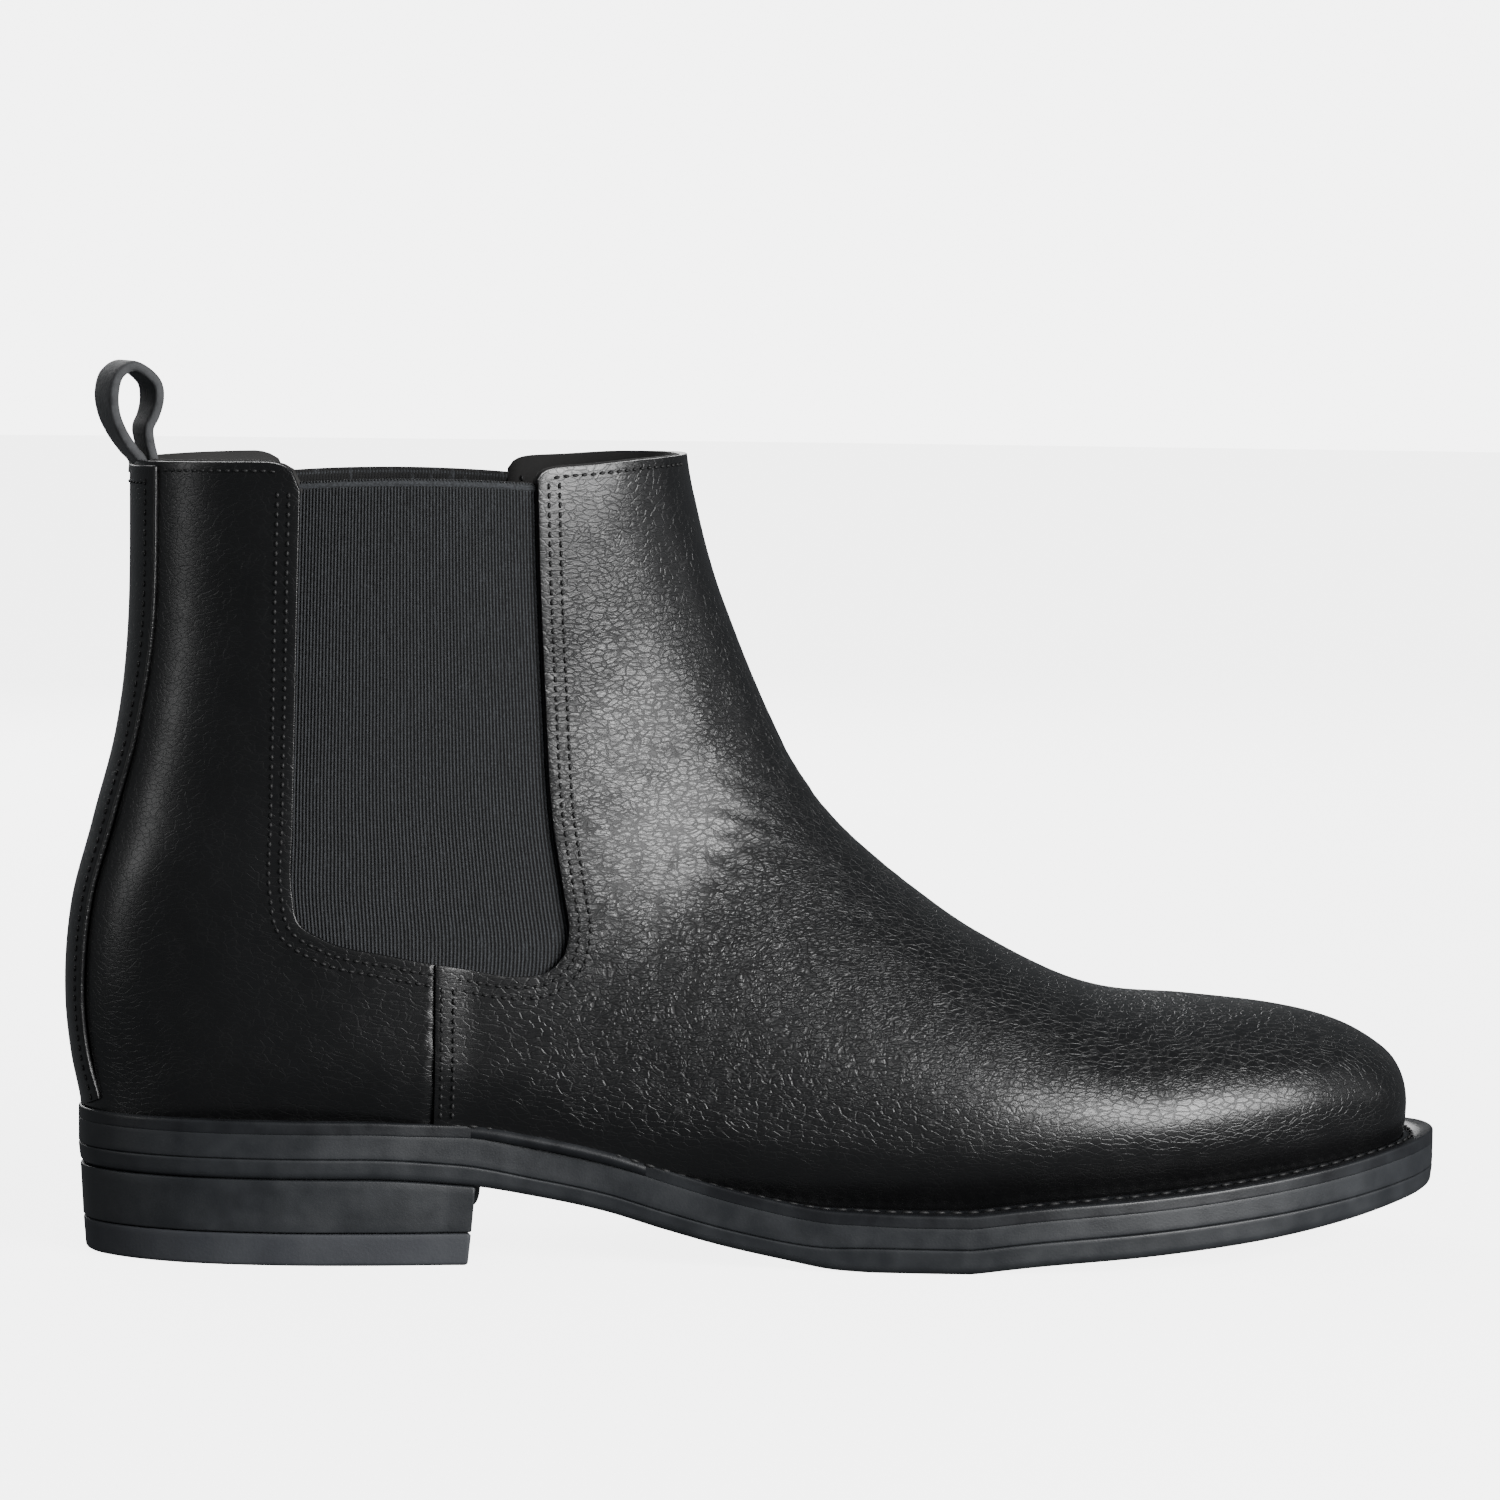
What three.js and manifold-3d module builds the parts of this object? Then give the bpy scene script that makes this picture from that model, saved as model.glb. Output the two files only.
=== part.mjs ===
// Chelsea boot for the right foot, EU 43, on a three-layer heel.
// Millimetres. +X points to the toe, +Z up, and the outer side of the foot faces -Y.
// The boot is laid out with X = 0 at the back of the sole and Z = 0 on the ground;
// the finished group is moved so that its origin is the bottom centre of its box.
import * as THREE from 'three';
import { mergeVertices } from 'three/addons/utils/BufferGeometryUtils.js';
import Module from 'manifold-3d';

const wasm = await Module();
wasm.setup();

// ---------------------------------------------------------------- driving sizes

const SOLE_LENGTH = 304;
const SOLE_WIDTH = 106;            // across the ball of the foot
const SHAFT_HEIGHT = 173.5;        // topline above the ground, at the back seam

const LEATHER = 1.6;               // outer leather
const REINFORCEMENT = 1.1;         // elastic, toe puff, heel counter and loop tail
const LINING = 1.0;
const BACKSTAY = 1.2;
const GAP = 0.3;                   // between any two pieces

const HEEL_CAP = 7.1;              // wearing layer that meets the ground
const HEEL_BASE = 11.3;
const OUTSOLE_HEEL = 4.5;
const OUTSOLE_WAIST = 4.0;
const OUTSOLE_FOREPART = 5.5;
const OUTSOLE_TOE = 4.5;
const MIDSOLE_HEEL = 5.1;
const MIDSOLE_WAIST = 6.4;
const MIDSOLE_FOREPART = 4.3;
const MIDSOLE_TOE = 4.8;
const WELT = 2.6;
const TOE_SPRING = 13.6;           // sole tip above the ground
const HEEL_BREAST = 84;            // front face of the heel, from the back of the sole

const FILLER = 1.8;
const INSOLE = 2.2;
const SOCK_LINER = 2.0;
const HEEL_PAD = 1.6;
const SHANK_LENGTH = 104;
const SHANK_WIDTH = 14;
const SHANK = 1.0;

const GORE_FLANGE = 8;             // elastic held under the leather around the cut-out
const SIDE_SEAM = 75.9;            // joint of vamp and quarter, from the back of the sole
const FLEX_HEIGHT = 89;            // instep fold above the ground

const LOOP_WIDTH = 12.5;
const LOOP_STRAP = 2.1;
const LOOP_HEIGHT = 22.6;          // above the topline
const LOOP_OPENING = 8.6;
const LOOP_TWIST = THREE.MathUtils.degToRad(10);
const LOOP_TAIL = 22;

const NAIL_DIAMETER = 2.4;
const NAIL_HEAD = 5.4;
const NAIL_HEAD_HEIGHT = 1.2;
const NAIL_LENGTH = 13;

// ---------------------------------------------------------------- grading

// The patterns below are drawn for this size and are graded to the driving sizes.
const PATTERN = { length: 304, width: 106, height: 173.5 };
const gradeX = SOLE_LENGTH / PATTERN.length;
const gradeY = SOLE_WIDTH / PATTERN.width;
const gradeZ = SHAFT_HEIGHT / PATTERN.height;

/** Smooth curve y(x) through points in rising x, without overshoot. */
function smoothCurve(points) {
  const slope = points.slice(1).map(([x, y], i) => (y - points[i][1]) / (x - points[i][0]));
  const tangent = points.map((_, i) => {
    if (i === 0 || i === slope.length) return slope[Math.min(i, slope.length - 1)];
    const product = slope[i - 1] * slope[i];
    return product <= 0 ? 0 : (2 * product) / (slope[i - 1] + slope[i]);
  });
  return (x) => {
    if (x <= points[0][0]) return points[0][1];
    if (x >= points.at(-1)[0]) return points.at(-1)[1];
    const i = points.findIndex(([px]) => px > x) - 1;
    const [x0, y0] = points[i];
    const [x1, y1] = points[i + 1];
    const w = x1 - x0;
    const s = (x - x0) / w;
    return (
      y0 * (1 + 2 * s) * (1 - s) ** 2 + y1 * s * s * (3 - 2 * s)
      + tangent[i] * w * s * (1 - s) ** 2 - tangent[i + 1] * w * s * s * (1 - s)
    );
  };
}

/** The same kind of curve with its x values graded to the length of the sole. */
const along = (points) => smoothCurve(points.map(([x, value]) => [x * gradeX, value]));

// ---------------------------------------------------------------- sole profile

const heelSeat = HEEL_CAP + HEEL_BASE + 2 * GAP;

// Share of the heel's height, and of the toe spring, that the underside of the outsole has.
const waistRise = along([
  [0, 1], [60, 1], [83, 0.926], [99, 0.79], [113, 0.637], [126, 0.437],
  [139, 0.258], [152, 0.12], [163, 0.02], [170, 0],
]);
const toeRise = along([
  [192, 0], [206, 0.12], [232, 0.27], [258, 0.46], [277, 0.66], [293, 0.87], [304, 1],
]);
const outsoleThickness = along([
  [82, OUTSOLE_HEEL], [100, OUTSOLE_WAIST], [150, OUTSOLE_WAIST],
  [172, OUTSOLE_FOREPART], [250, OUTSOLE_FOREPART], [296, OUTSOLE_TOE],
]);
const midsoleThickness = along([
  [70, MIDSOLE_HEEL], [100, MIDSOLE_WAIST], [150, MIDSOLE_WAIST - 0.9],
  [180, MIDSOLE_FOREPART], [235, MIDSOLE_FOREPART], [290, MIDSOLE_TOE],
]);

const underside = (x) => heelSeat * waistRise(x) + TOE_SPRING * toeRise(x);
const outsoleTop = (x) => underside(x) + outsoleThickness(x);
const midsoleBottom = (x) => outsoleTop(x) + GAP;
const midsoleTop = (x) => midsoleBottom(x) + midsoleThickness(x);
const weltBottom = (x) => midsoleTop(x) + GAP;
const weltTop = (x) => weltBottom(x) + WELT;

// ---------------------------------------------------------------- last

// Sections through the foot from the toe to the top of the shaft. Each is a rounded
// outline between a point on the front ridge and a point under the heel or sole:
// ridge x, ridge z, low x, low z, outer half width, inner half width, where it is
// fullest (share of the way down), roundness above that, roundness below it.
const SECTIONS = [
  [297.1, 32.0, 296.8, 28.0, 1.5, 1.5, 0.45, 2.0, 2.0],
  [295.7, 39.5, 295.7, 22.0, 12.5, 14.5, 0.42, 2.0, 2.2],
  [291.3, 44.9, 291.3, 15.0, 21.0, 23.5, 0.42, 2.05, 2.3],
  [282.7, 50.4, 283.2, 10.0, 28.5, 31.5, 0.42, 2.1, 2.4],
  [269.2, 53.9, 269.7, 5.5, 36.5, 38.5, 0.43, 2.15, 2.4],
  [249.6, 56.2, 250.3, 0.5, 43.5, 43.5, 0.45, 2.2, 2.4],
  [227.6, 58.4, 225.4, -5.0, 47.5, 46.0, 0.47, 2.2, 2.4],
  [204.5, 67.3, 193.4, -8.0, 48.5, 45.0, 0.5, 2.1, 2.4],
  [183.1, 80.8, 150.4, -11.0, 45.5, 41.0, 0.5, 2.0, 2.4],
  [167.5, 94.1, 92.4, -13.5, 41.0, 37.0, 0.48, 2.0, 2.4],
  [158.3, 106.0, 35.9, -12.0, 37.5, 35.5, 0.47, 2.05, 2.4],
  [152.2, 117.5, 4.5, 9.5, 35.5, 35.0, 0.47, 2.1, 2.3],
  [147.4, 128.2, 0.9, 34.5, 34.5, 34.5, 0.48, 2.2, 2.2],
  [143.1, 138.7, -1.7, 55.5, 34.0, 34.0, 0.49, 2.3, 2.2],
  [139.6, 147.9, -0.6, 75.5, 34.0, 34.0, 0.5, 2.4, 2.2],
  [137.0, 156.3, 4.1, 94.5, 34.5, 34.5, 0.5, 2.4, 2.2],
  [135.0, 164.3, 8.8, 114.5, 35.0, 35.0, 0.5, 2.4, 2.3],
  [133.5, 171.5, 11.3, 139.5, 35.5, 35.5, 0.5, 2.4, 2.3],
  [132.4, 179.5, 11.5, 178.0, 35.5, 35.5, 0.5, 2.4, 2.3],
];

const FEATHER_HEIGHT = 15;         // over which the upper turns in above the welt
const FEATHER_TURN = 0.07;         // share of the half width that it turns in by
const featherTurnInner = along([
  [40, 0.07], [85, 0.15], [120, 0.2], [150, 0.13], [185, 0.07],
]);

/** Catmull-Rom blend of the sections at t, from 0 at the toe to 1 at the topline. */
function sectionAt(t) {
  const last = SECTIONS.length - 1;
  const place = THREE.MathUtils.clamp(t, 0, 1) * last;
  const i = Math.min(Math.floor(place), last - 1);
  const f = place - i;
  const row = (j) => SECTIONS[THREE.MathUtils.clamp(j, 0, last)];
  return SECTIONS[0].map((_, k) => {
    const p1 = row(i)[k];
    const p2 = row(i + 1)[k];
    const p0 = i === 0 ? 2 * p1 - p2 : row(i - 1)[k];
    const p3 = i + 1 === last ? 2 * p2 - p1 : row(i + 2)[k];
    return 0.5 * (2 * p1 + (p2 - p0) * f + (2 * p0 - 5 * p1 + 4 * p2 - p3) * f * f
      + (3 * p1 - p0 - 3 * p2 + p3) * f ** 3);
  });
}

/** Point of the leather's outer face. The angle runs from the ridge down the outer side. */
function lastPoint(t, angle) {
  const [ridgeX, ridgeZ, lowX, lowZ, outer, inner, fullest, above, below] = sectionAt(t);
  const across = Math.cos(angle);
  const side = Math.sin(angle) >= 0 ? -1 : 1;
  const power = 2 / (across >= 0 ? above : below);
  const reach = Math.abs(across) ** power;
  const share = across >= 0 ? fullest * (1 - reach) : fullest + (1 - fullest) * reach;
  const x = (ridgeX + (lowX - ridgeX) * share) * gradeX;
  const z = (ridgeZ + (lowZ - ridgeZ) * share) * gradeZ;
  const turn = side < 0 ? FEATHER_TURN : featherTurnInner(x);
  const low = THREE.MathUtils.clamp((weltTop(x) + FEATHER_HEIGHT - z) / FEATHER_HEIGHT, 0, 1);
  const half = (side < 0 ? outer : inner) * gradeY * Math.abs(Math.sin(angle)) ** power;
  return new THREE.Vector3(x, side * half * (1 - turn * low * low), z);
}

/** Point at a distance outside the leather's outer face, or inside it when negative. */
function skinPoint(t, angle, offset) {
  const dt = 0.004;
  const da = 0.03;
  const ahead = lastPoint(Math.max(t - dt, 0), angle).sub(lastPoint(Math.min(t + dt, 1), angle));
  const round = lastPoint(t, angle + da).sub(lastPoint(t, angle - da));
  const normal = new THREE.Vector3().crossVectors(round, ahead).normalize();
  return lastPoint(t, angle).addScaledVector(normal, offset);
}

// ---------------------------------------------------------------- solids

/** Manifold of a closed three.js geometry. */
function solidOf(geometry) {
  const bare = geometry.index ? geometry.toNonIndexed() : geometry.clone();
  bare.deleteAttribute('normal');
  bare.deleteAttribute('uv');
  const merged = mergeVertices(bare, 1e-4);
  return new wasm.Manifold(new wasm.Mesh({
    numProp: 3,
    vertProperties: Float32Array.from(merged.attributes.position.array),
    triVerts: Uint32Array.from(merged.index.array),
  }));
}

/** Three.js geometry of a manifold. */
function geometryOf(solid) {
  const { vertProperties, triVerts, numProp } = solid.getMesh();
  const geometry = new THREE.BufferGeometry();
  const positions = new Float32Array((vertProperties.length / numProp) * 3);
  for (let i = 0; i < positions.length / 3; i += 1) {
    for (let k = 0; k < 3; k += 1) positions[3 * i + k] = vertProperties[i * numProp + k];
  }
  geometry.setAttribute('position', new THREE.BufferAttribute(positions, 3));
  geometry.setIndex(new THREE.BufferAttribute(Uint32Array.from(triVerts), 1));
  return geometry;
}

/** Closed solid through rings of points, with every ring going round the same way. */
function loft(rings) {
  const count = rings[0].length;
  const positions = [];
  const index = [];
  for (const ring of rings) for (const point of ring) positions.push(...point.toArray());
  for (let i = 0; i + 1 < rings.length; i += 1) {
    for (let j = 0; j < count; j += 1) {
      const a = i * count + j;
      const b = i * count + ((j + 1) % count);
      index.push(a, b, a + count, b, b + count, a + count);
    }
  }
  for (const [start, ring] of [[0, rings[0]], [count * (rings.length - 1), rings.at(-1)]]) {
    const centre = ring.reduce((sum, p) => sum.add(p), new THREE.Vector3()).divideScalar(count);
    const middle = positions.length / 3;
    positions.push(...centre.toArray());
    for (let j = 0; j < count; j += 1) {
      const edge = [start + j, start + ((j + 1) % count)];
      if (start === 0) edge.reverse();
      index.push(...edge, middle);
    }
  }
  const geometry = new THREE.BufferGeometry();
  geometry.setAttribute('position', new THREE.Float32BufferAttribute(positions, 3));
  geometry.setIndex(index);
  const solid = solidOf(geometry);
  if (solid.volume() > 0) return solid;
  geometry.setIndex(index.map((_, i) => index[i - (i % 3) + (2 - (i % 3))]));
  return solidOf(geometry);
}

const LAST_STATIONS = 24;
const LAST_RING = 24;

/** The foot-shaped solid whose surface lies at an offset from the leather's outer face. */
function lastSolid(offset) {
  const rings = [];
  for (let i = 0; i <= LAST_STATIONS; i += 1) {
    const t = i / LAST_STATIONS;
    rings.push(Array.from({ length: LAST_RING }, (_, j) => (
      skinPoint(t, (2 * Math.PI * j) / LAST_RING, offset)
    )));
  }
  return loft(rings);
}

/** A layer of the upper between two offsets. */
const layer = (outside, inside) => lastSolid(outside).subtract(lastSolid(inside));

const REACH = 80;                  // beyond the boot's half width, for cutting prisms

/** A side outline, given as [x, z] points, carried across from one y to another. */
function sidePrism(outline, fromY = -REACH, toY = REACH) {
  const shape = new THREE.Shape(outline.map(([x, z]) => new THREE.Vector2(x, z)));
  const geometry = new THREE.ExtrudeGeometry(shape, {
    depth: toY - fromY, bevelEnabled: false, curveSegments: 1,
  });
  return solidOf(geometry.rotateX(Math.PI / 2).translate(0, toY, 0));
}

/** A back outline, given as [y, z] points, carried along from one x to another. */
function endPrism(outline, fromX, toX) {
  const shape = new THREE.Shape(outline.map(([y, z]) => new THREE.Vector2(y, z)));
  const geometry = new THREE.ExtrudeGeometry(shape, { depth: toX - fromX, bevelEnabled: false });
  return solidOf(geometry.rotateX(Math.PI / 2).rotateZ(Math.PI / 2).translate(fromX, 0, 0));
}

/** Points of a curve z(x) from one x to another. */
function curvePoints(curve, fromX, toX, steps = 26) {
  return Array.from({ length: steps + 1 }, (_, i) => {
    const x = fromX + ((toX - fromX) * i) / steps;
    return [x, curve(x)];
  });
}

const FRONT_END = SOLE_LENGTH + 10;
const BACK_END = -12;

/** Everything between two curves z(x), seen from the side. */
function slab(low, high, fromX = BACK_END, toX = FRONT_END) {
  return sidePrism([...curvePoints(low, fromX, toX), ...curvePoints(high, toX, fromX)]);
}

/** Outline with every edge moved out by a distance; the points run anticlockwise. */
function grown(outline, distance) {
  return outline.map((point, i) => {
    const before = outline[(i + outline.length - 1) % outline.length];
    const after = outline[(i + 1) % outline.length];
    const a = new THREE.Vector2(point[0] - before[0], point[1] - before[1]).normalize();
    const b = new THREE.Vector2(after[0] - point[0], after[1] - point[1]).normalize();
    const scale = distance / (1 + a.dot(b));
    return [point[0] + (a.y + b.y) * scale, point[1] - (a.x + b.x) * scale];
  });
}

// ---------------------------------------------------------------- sole plates

const OUTER_EDGE = new THREE.SplineCurve([
  [0, 0], [2, 9.5], [8, 18], [20, 26.8], [40, 33], [62, 34.8], [82, 34.4], [100, 34.6],
  [120, 37], [140, 41.3], [160, 46.3], [180, 50.6], [198, 53], [215, 53.5], [232, 52.3],
  [250, 48.6], [266, 42.8], [280, 35], [291, 26.3], [299, 16.5], [303, 7.5], [304, 0],
].map(([x, y]) => new THREE.Vector2(x * gradeX, -y * gradeY)));
const INNER_EDGE = new THREE.SplineCurve([
  [0, 0], [2, 9.5], [8, 18], [20, 26.8], [40, 32.6], [62, 34], [82, 33.2], [100, 32.4],
  [120, 33], [140, 36], [160, 40.5], [180, 45.6], [198, 50], [215, 52.3], [232, 52.5],
  [250, 50], [266, 45.4], [280, 38.6], [291, 30], [299, 19.5], [303, 9.5], [304, 0],
].map(([x, y]) => new THREE.Vector2(x * gradeX, y * gradeY)));

const PLATE_STATIONS = 34;

/** Plate with the sole's outline, between z(x) curves, inset at its top and bottom edges. */
function solePlate(bottom, top, bottomInset = 0, topInset = 0) {
  const rings = [];
  for (let i = 0; i <= PLATE_STATIONS; i += 1) {
    const u = THREE.MathUtils.lerp(0.012, 0.988, i / PLATE_STATIONS);
    const corner = (edge, turn, inset, height) => {
      const tangent = edge.getTangent(u);
      const point = edge.getPoint(u).add(
        new THREE.Vector2(-tangent.y, tangent.x).multiplyScalar(turn * inset),
      );
      return new THREE.Vector3(point.x, point.y, height(point.x));
    };
    rings.push([
      corner(OUTER_EDGE, 1, topInset, top), corner(INNER_EDGE, -1, topInset, top),
      corner(INNER_EDGE, -1, bottomInset, bottom), corner(OUTER_EDGE, 1, bottomInset, bottom),
    ]);
  }
  return loft(rings);
}

const breast = HEEL_BREAST * gradeX;

/** Heel layer between a curve and a height, cut off at the heel's front face. */
function heelLayer(bottom, top, bottomInset, topInset) {
  const slant = 0.08;
  const front = (z) => breast + slant * (z - heelSeat);
  const cut = sidePrism([
    [BACK_END, -1], [front(-1), -1], [front(heelSeat + 2), heelSeat + 2], [BACK_END, heelSeat + 2],
  ]);
  return solePlate(bottom, top, bottomInset, topInset).intersect(cut);
}

// Heel nails stand in a horseshoe, driven down through the outsole into the heel base.
const NAILS = [[16, 0], [27, -17], [27, 17], [58, -20], [58, 20]]
  .map(([x, y]) => [x * gradeX, y * gradeY]);

/** Headed nail, or its hole when a clearance is given. */
function nail(x, y, clearance = 0) {
  const top = outsoleTop(x) + (clearance ? 1 : 0);
  const shank = NAIL_DIAMETER / 2 + clearance;
  const head = NAIL_HEAD / 2 + clearance;
  const under = outsoleTop(x) - NAIL_HEAD_HEIGHT - clearance;
  const tip = outsoleTop(x) - NAIL_LENGTH - clearance;
  const profile = [[0, tip], [shank, tip + shank], [shank, under], [head, under], [head, top], [0, top]];
  const geometry = new THREE.LatheGeometry(profile.map(([r, z]) => new THREE.Vector2(r, z)), 10);
  return solidOf(geometry.rotateX(Math.PI / 2).translate(x, y, 0));
}

// ---------------------------------------------------------------- upper patterns

// Topline from the back seam to the front, with the dip that the elastic makes.
const GORE_TOP = 170 * gradeZ;
const GORE = [
  [45.9, 190], [45.2, 120], [44.9, 81], [46.2, 75], [51.6, 71.4], [66, 68],
  [82, 65.3], [93.5, 63.7], [99.5, 64.4], [103.6, 67.8], [104.9, 73], [103.9, 81],
  [101.4, 97], [99.6, 124], [97.8, 158], [97.4, 190],
].map(([x, z]) => [x * gradeX, z * gradeZ]);

const rearTopline = [[BACK_END, 172.9], [27, 173.7], [39, 174], [43.5, 172.6], [45.9, 168.6]]
  .map(([x, z], i) => [i ? x * gradeX : x, z * gradeZ]);
const frontTopline = [[97.4, 171], [98.6, 174.2], [101, 175], [122, 175.8], [150, 176.6]]
  .map(([x, z]) => [x * gradeX, z * gradeZ]);

const upperBottom = (x) => midsoleTop(x) + GAP;

const seam = SIDE_SEAM * gradeX;
// The side seam meets the lower edge of the cut-out between these two points of its outline.
const seamIndex = GORE.findIndex(([x], i) => i > 3 && x > seam);
const [before, after] = [GORE[seamIndex - 1], GORE[seamIndex]];
const seamTop = before[1] + ((after[1] - before[1]) * (seam - before[0])) / (after[0] - before[0]);
const goreRear = GORE.slice(1, seamIndex);          // from above down to the side seam
const goreFront = GORE.slice(seamIndex, -1);        // from the side seam up the front edge
const goreNose = goreFront.filter(([, z]) => z < 83 * gradeZ);     // below the instep fold

/** Height of the front ridge's fold line: the crown point at FLEX_HEIGHT. */
function crownAt(height) {
  let low = 0;
  let high = 1;
  for (let i = 0; i < 40; i += 1) {
    const middle = (low + high) / 2;
    if (lastPoint(middle, 0).z < height) low = middle;
    else high = middle;
  }
  return lastPoint(low, 0);
}

const fold = crownAt(FLEX_HEIGHT * gradeZ);
const foldRear = [103 * gradeX, 84.5 * gradeZ];     // where the fold meets the elastic
const foldSlope = (fold.z - foldRear[1]) / (fold.x - foldRear[0]);
const foldLine = (x) => fold.z + foldSlope * (x - fold.x);

const quarterOutline = [
  ...curvePoints(upperBottom, BACK_END, seam - GAP / 2, 10),
  [seam - GAP / 2, seamTop],
  ...goreRear.toReversed(),
  ...rearTopline.toReversed(),
];
const vampOutline = [
  ...curvePoints(upperBottom, seam + GAP / 2, FRONT_END, 24),
  [FRONT_END, foldLine(fold.x)],
  [fold.x, foldLine(fold.x) - GAP / 2],
  [foldRear[0] - 2, foldLine(foldRear[0] - 2) - GAP / 2],
  ...goreNose.toReversed(),
  [seam + GAP / 2, seamTop],
];
const shaftFrontOutline = [
  [foldRear[0], foldLine(foldRear[0]) + GAP / 2],
  [fold.x + 20, foldLine(fold.x + 20) + GAP / 2],
  ...frontTopline.toReversed(),
  ...goreFront.slice(goreNose.length).filter(([, z]) => z > foldRear[1]).toReversed(),
];

const hidden = -LEATHER - GAP;                      // outer face of the reinforcements
const hiddenInside = hidden - REINFORCEMENT;
const liningOutside = hiddenInside - GAP;
const liningInside = liningOutside - LINING;

const leatherLayer = layer(0, -LEATHER);
const reinforcementLayer = layer(hidden, hiddenInside);
const liningLayer = layer(liningOutside, liningInside);
const footSpace = lastSolid(liningInside - GAP);

const everything = [
  [BACK_END, -20], [FRONT_END, -20], [FRONT_END, 2 * SHAFT_HEIGHT], [BACK_END, 2 * SHAFT_HEIGHT],
];
const outerHalf = sidePrism(everything, -REACH, -GAP / 2);
const innerHalf = sidePrism(everything, GAP / 2, REACH);

/** Elastic panel with its flange, on one side of the boot. */
function gore(half) {
  const outline = grown(GORE, GORE_FLANGE).map(([x, z]) => [x, Math.min(z, GORE_TOP)]);
  return reinforcementLayer.intersect(sidePrism(outline)).intersect(half);
}

/** Strip over the back seam, wider towards the top. */
function backstay() {
  const half = [[168, 16.4], [140, 16], [118, 14.5], [95, 12.6], [66, 11.4], [45, 10.6], [24, 12]]
    .map(([z, y]) => [y * gradeY, z * gradeZ]);
  const top = SHAFT_HEIGHT - 0.4;
  const outline = [
    ...half.map(([y, z]) => [-y, z]), ...half.toReversed(),
    [half[0][0], top], [-half[0][0], top],
  ];
  const rear = [...curvePoints((x) => weltTop(x) + GAP, BACK_END, 60, 6), [60, 260], [BACK_END, 260]];
  return layer(BACKSTAY + GAP, GAP).intersect(endPrism(outline, BACK_END, 60))
    .intersect(sidePrism(rear));
}

/** Stiffener around the back of the heel. */
function heelCounter() {
  const edge = [[110, 43], [62, 50], [37, 55], [27, 79], [BACK_END, 86]]
    .map(([x, z], i) => [i < 4 ? x * gradeX : x, z * gradeZ]);
  const outline = [...curvePoints(upperBottom, BACK_END, 110 * gradeX, 10), ...edge];
  return reinforcementLayer.intersect(sidePrism(outline));
}

/** Stiffener over the toes. */
function toePuff() {
  const start = 246 * gradeX;
  const outline = [
    ...curvePoints(upperBottom, start + 6, FRONT_END, 8), [FRONT_END, 90], [start, 90],
  ];
  return reinforcementLayer.intersect(sidePrism(outline));
}

// ---------------------------------------------------------------- inside of the sole

const fillerBottom = (x) => midsoleTop(x) + GAP;
const fillerTop = (x) => fillerBottom(x) + FILLER;
const insoleBottom = (x) => fillerTop(x) + GAP;
const insoleTop = (x) => insoleBottom(x) + INSOLE;
const padBottom = (x) => insoleTop(x) + GAP;
const padTop = (x) => padBottom(x) + HEEL_PAD;
const padEnd = 72 * gradeX;
const padStart = 14 * gradeX;
const linerRise = along([[76, 1], [92, 0]]);   // the liner lies over the pad, then on the insole
const linerBottom = (x) => insoleTop(x) + GAP + linerRise(x) * (HEEL_PAD + GAP);
const linerTop = (x) => linerBottom(x) + SOCK_LINER;

const shankStart = 52 * gradeX;
const shankBottom = (x) => fillerBottom(x) + (FILLER - SHANK) / 2;
const shankTop = (x) => shankBottom(x) + SHANK;

/** Steel spring under the arch, or its slot in the filler when a clearance is given. */
function shank(clearance = 0) {
  const reach = clearance ? 5 : 0;
  return sidePrism([
    ...curvePoints((x) => shankBottom(x) - reach, shankStart - clearance,
      shankStart + SHANK_LENGTH + clearance, 14),
    ...curvePoints((x) => shankTop(x) + reach, shankStart + SHANK_LENGTH + clearance,
      shankStart - clearance, 14),
  ], -SHANK_WIDTH / 2 - clearance, SHANK_WIDTH / 2 + clearance);
}

/** Layer inside the lasted upper between two curves. */
const insideLayer = (low, high, fromX, toX) => footSpace.intersect(slab(low, high, fromX, toX));

/** Heel cushion, set in from the edge of the insole. */
function heelPad() {
  const round = new THREE.Shape();
  round.absellipse((padStart + padEnd) / 2, 0, (padEnd - padStart) / 2, 22 * gradeY, 0, 2 * Math.PI);
  const geometry = new THREE.ExtrudeGeometry(round, {
    depth: 80, bevelEnabled: false, curveSegments: 12,
  });
  return solidOf(geometry).intersect(slab(padBottom, padTop, BACK_END, padEnd + 10));
}

// ---------------------------------------------------------------- pull loop

const loopFoot = lastPoint(1, Math.PI).x + LEATHER + GAP + REINFORCEMENT / 2;
const knuckle = LOOP_STRAP + 0.15;                  // radius: two straps side by side
const loopAxis = new THREE.Vector3(loopFoot, 0, SHAFT_HEIGHT + GAP + knuckle);

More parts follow.
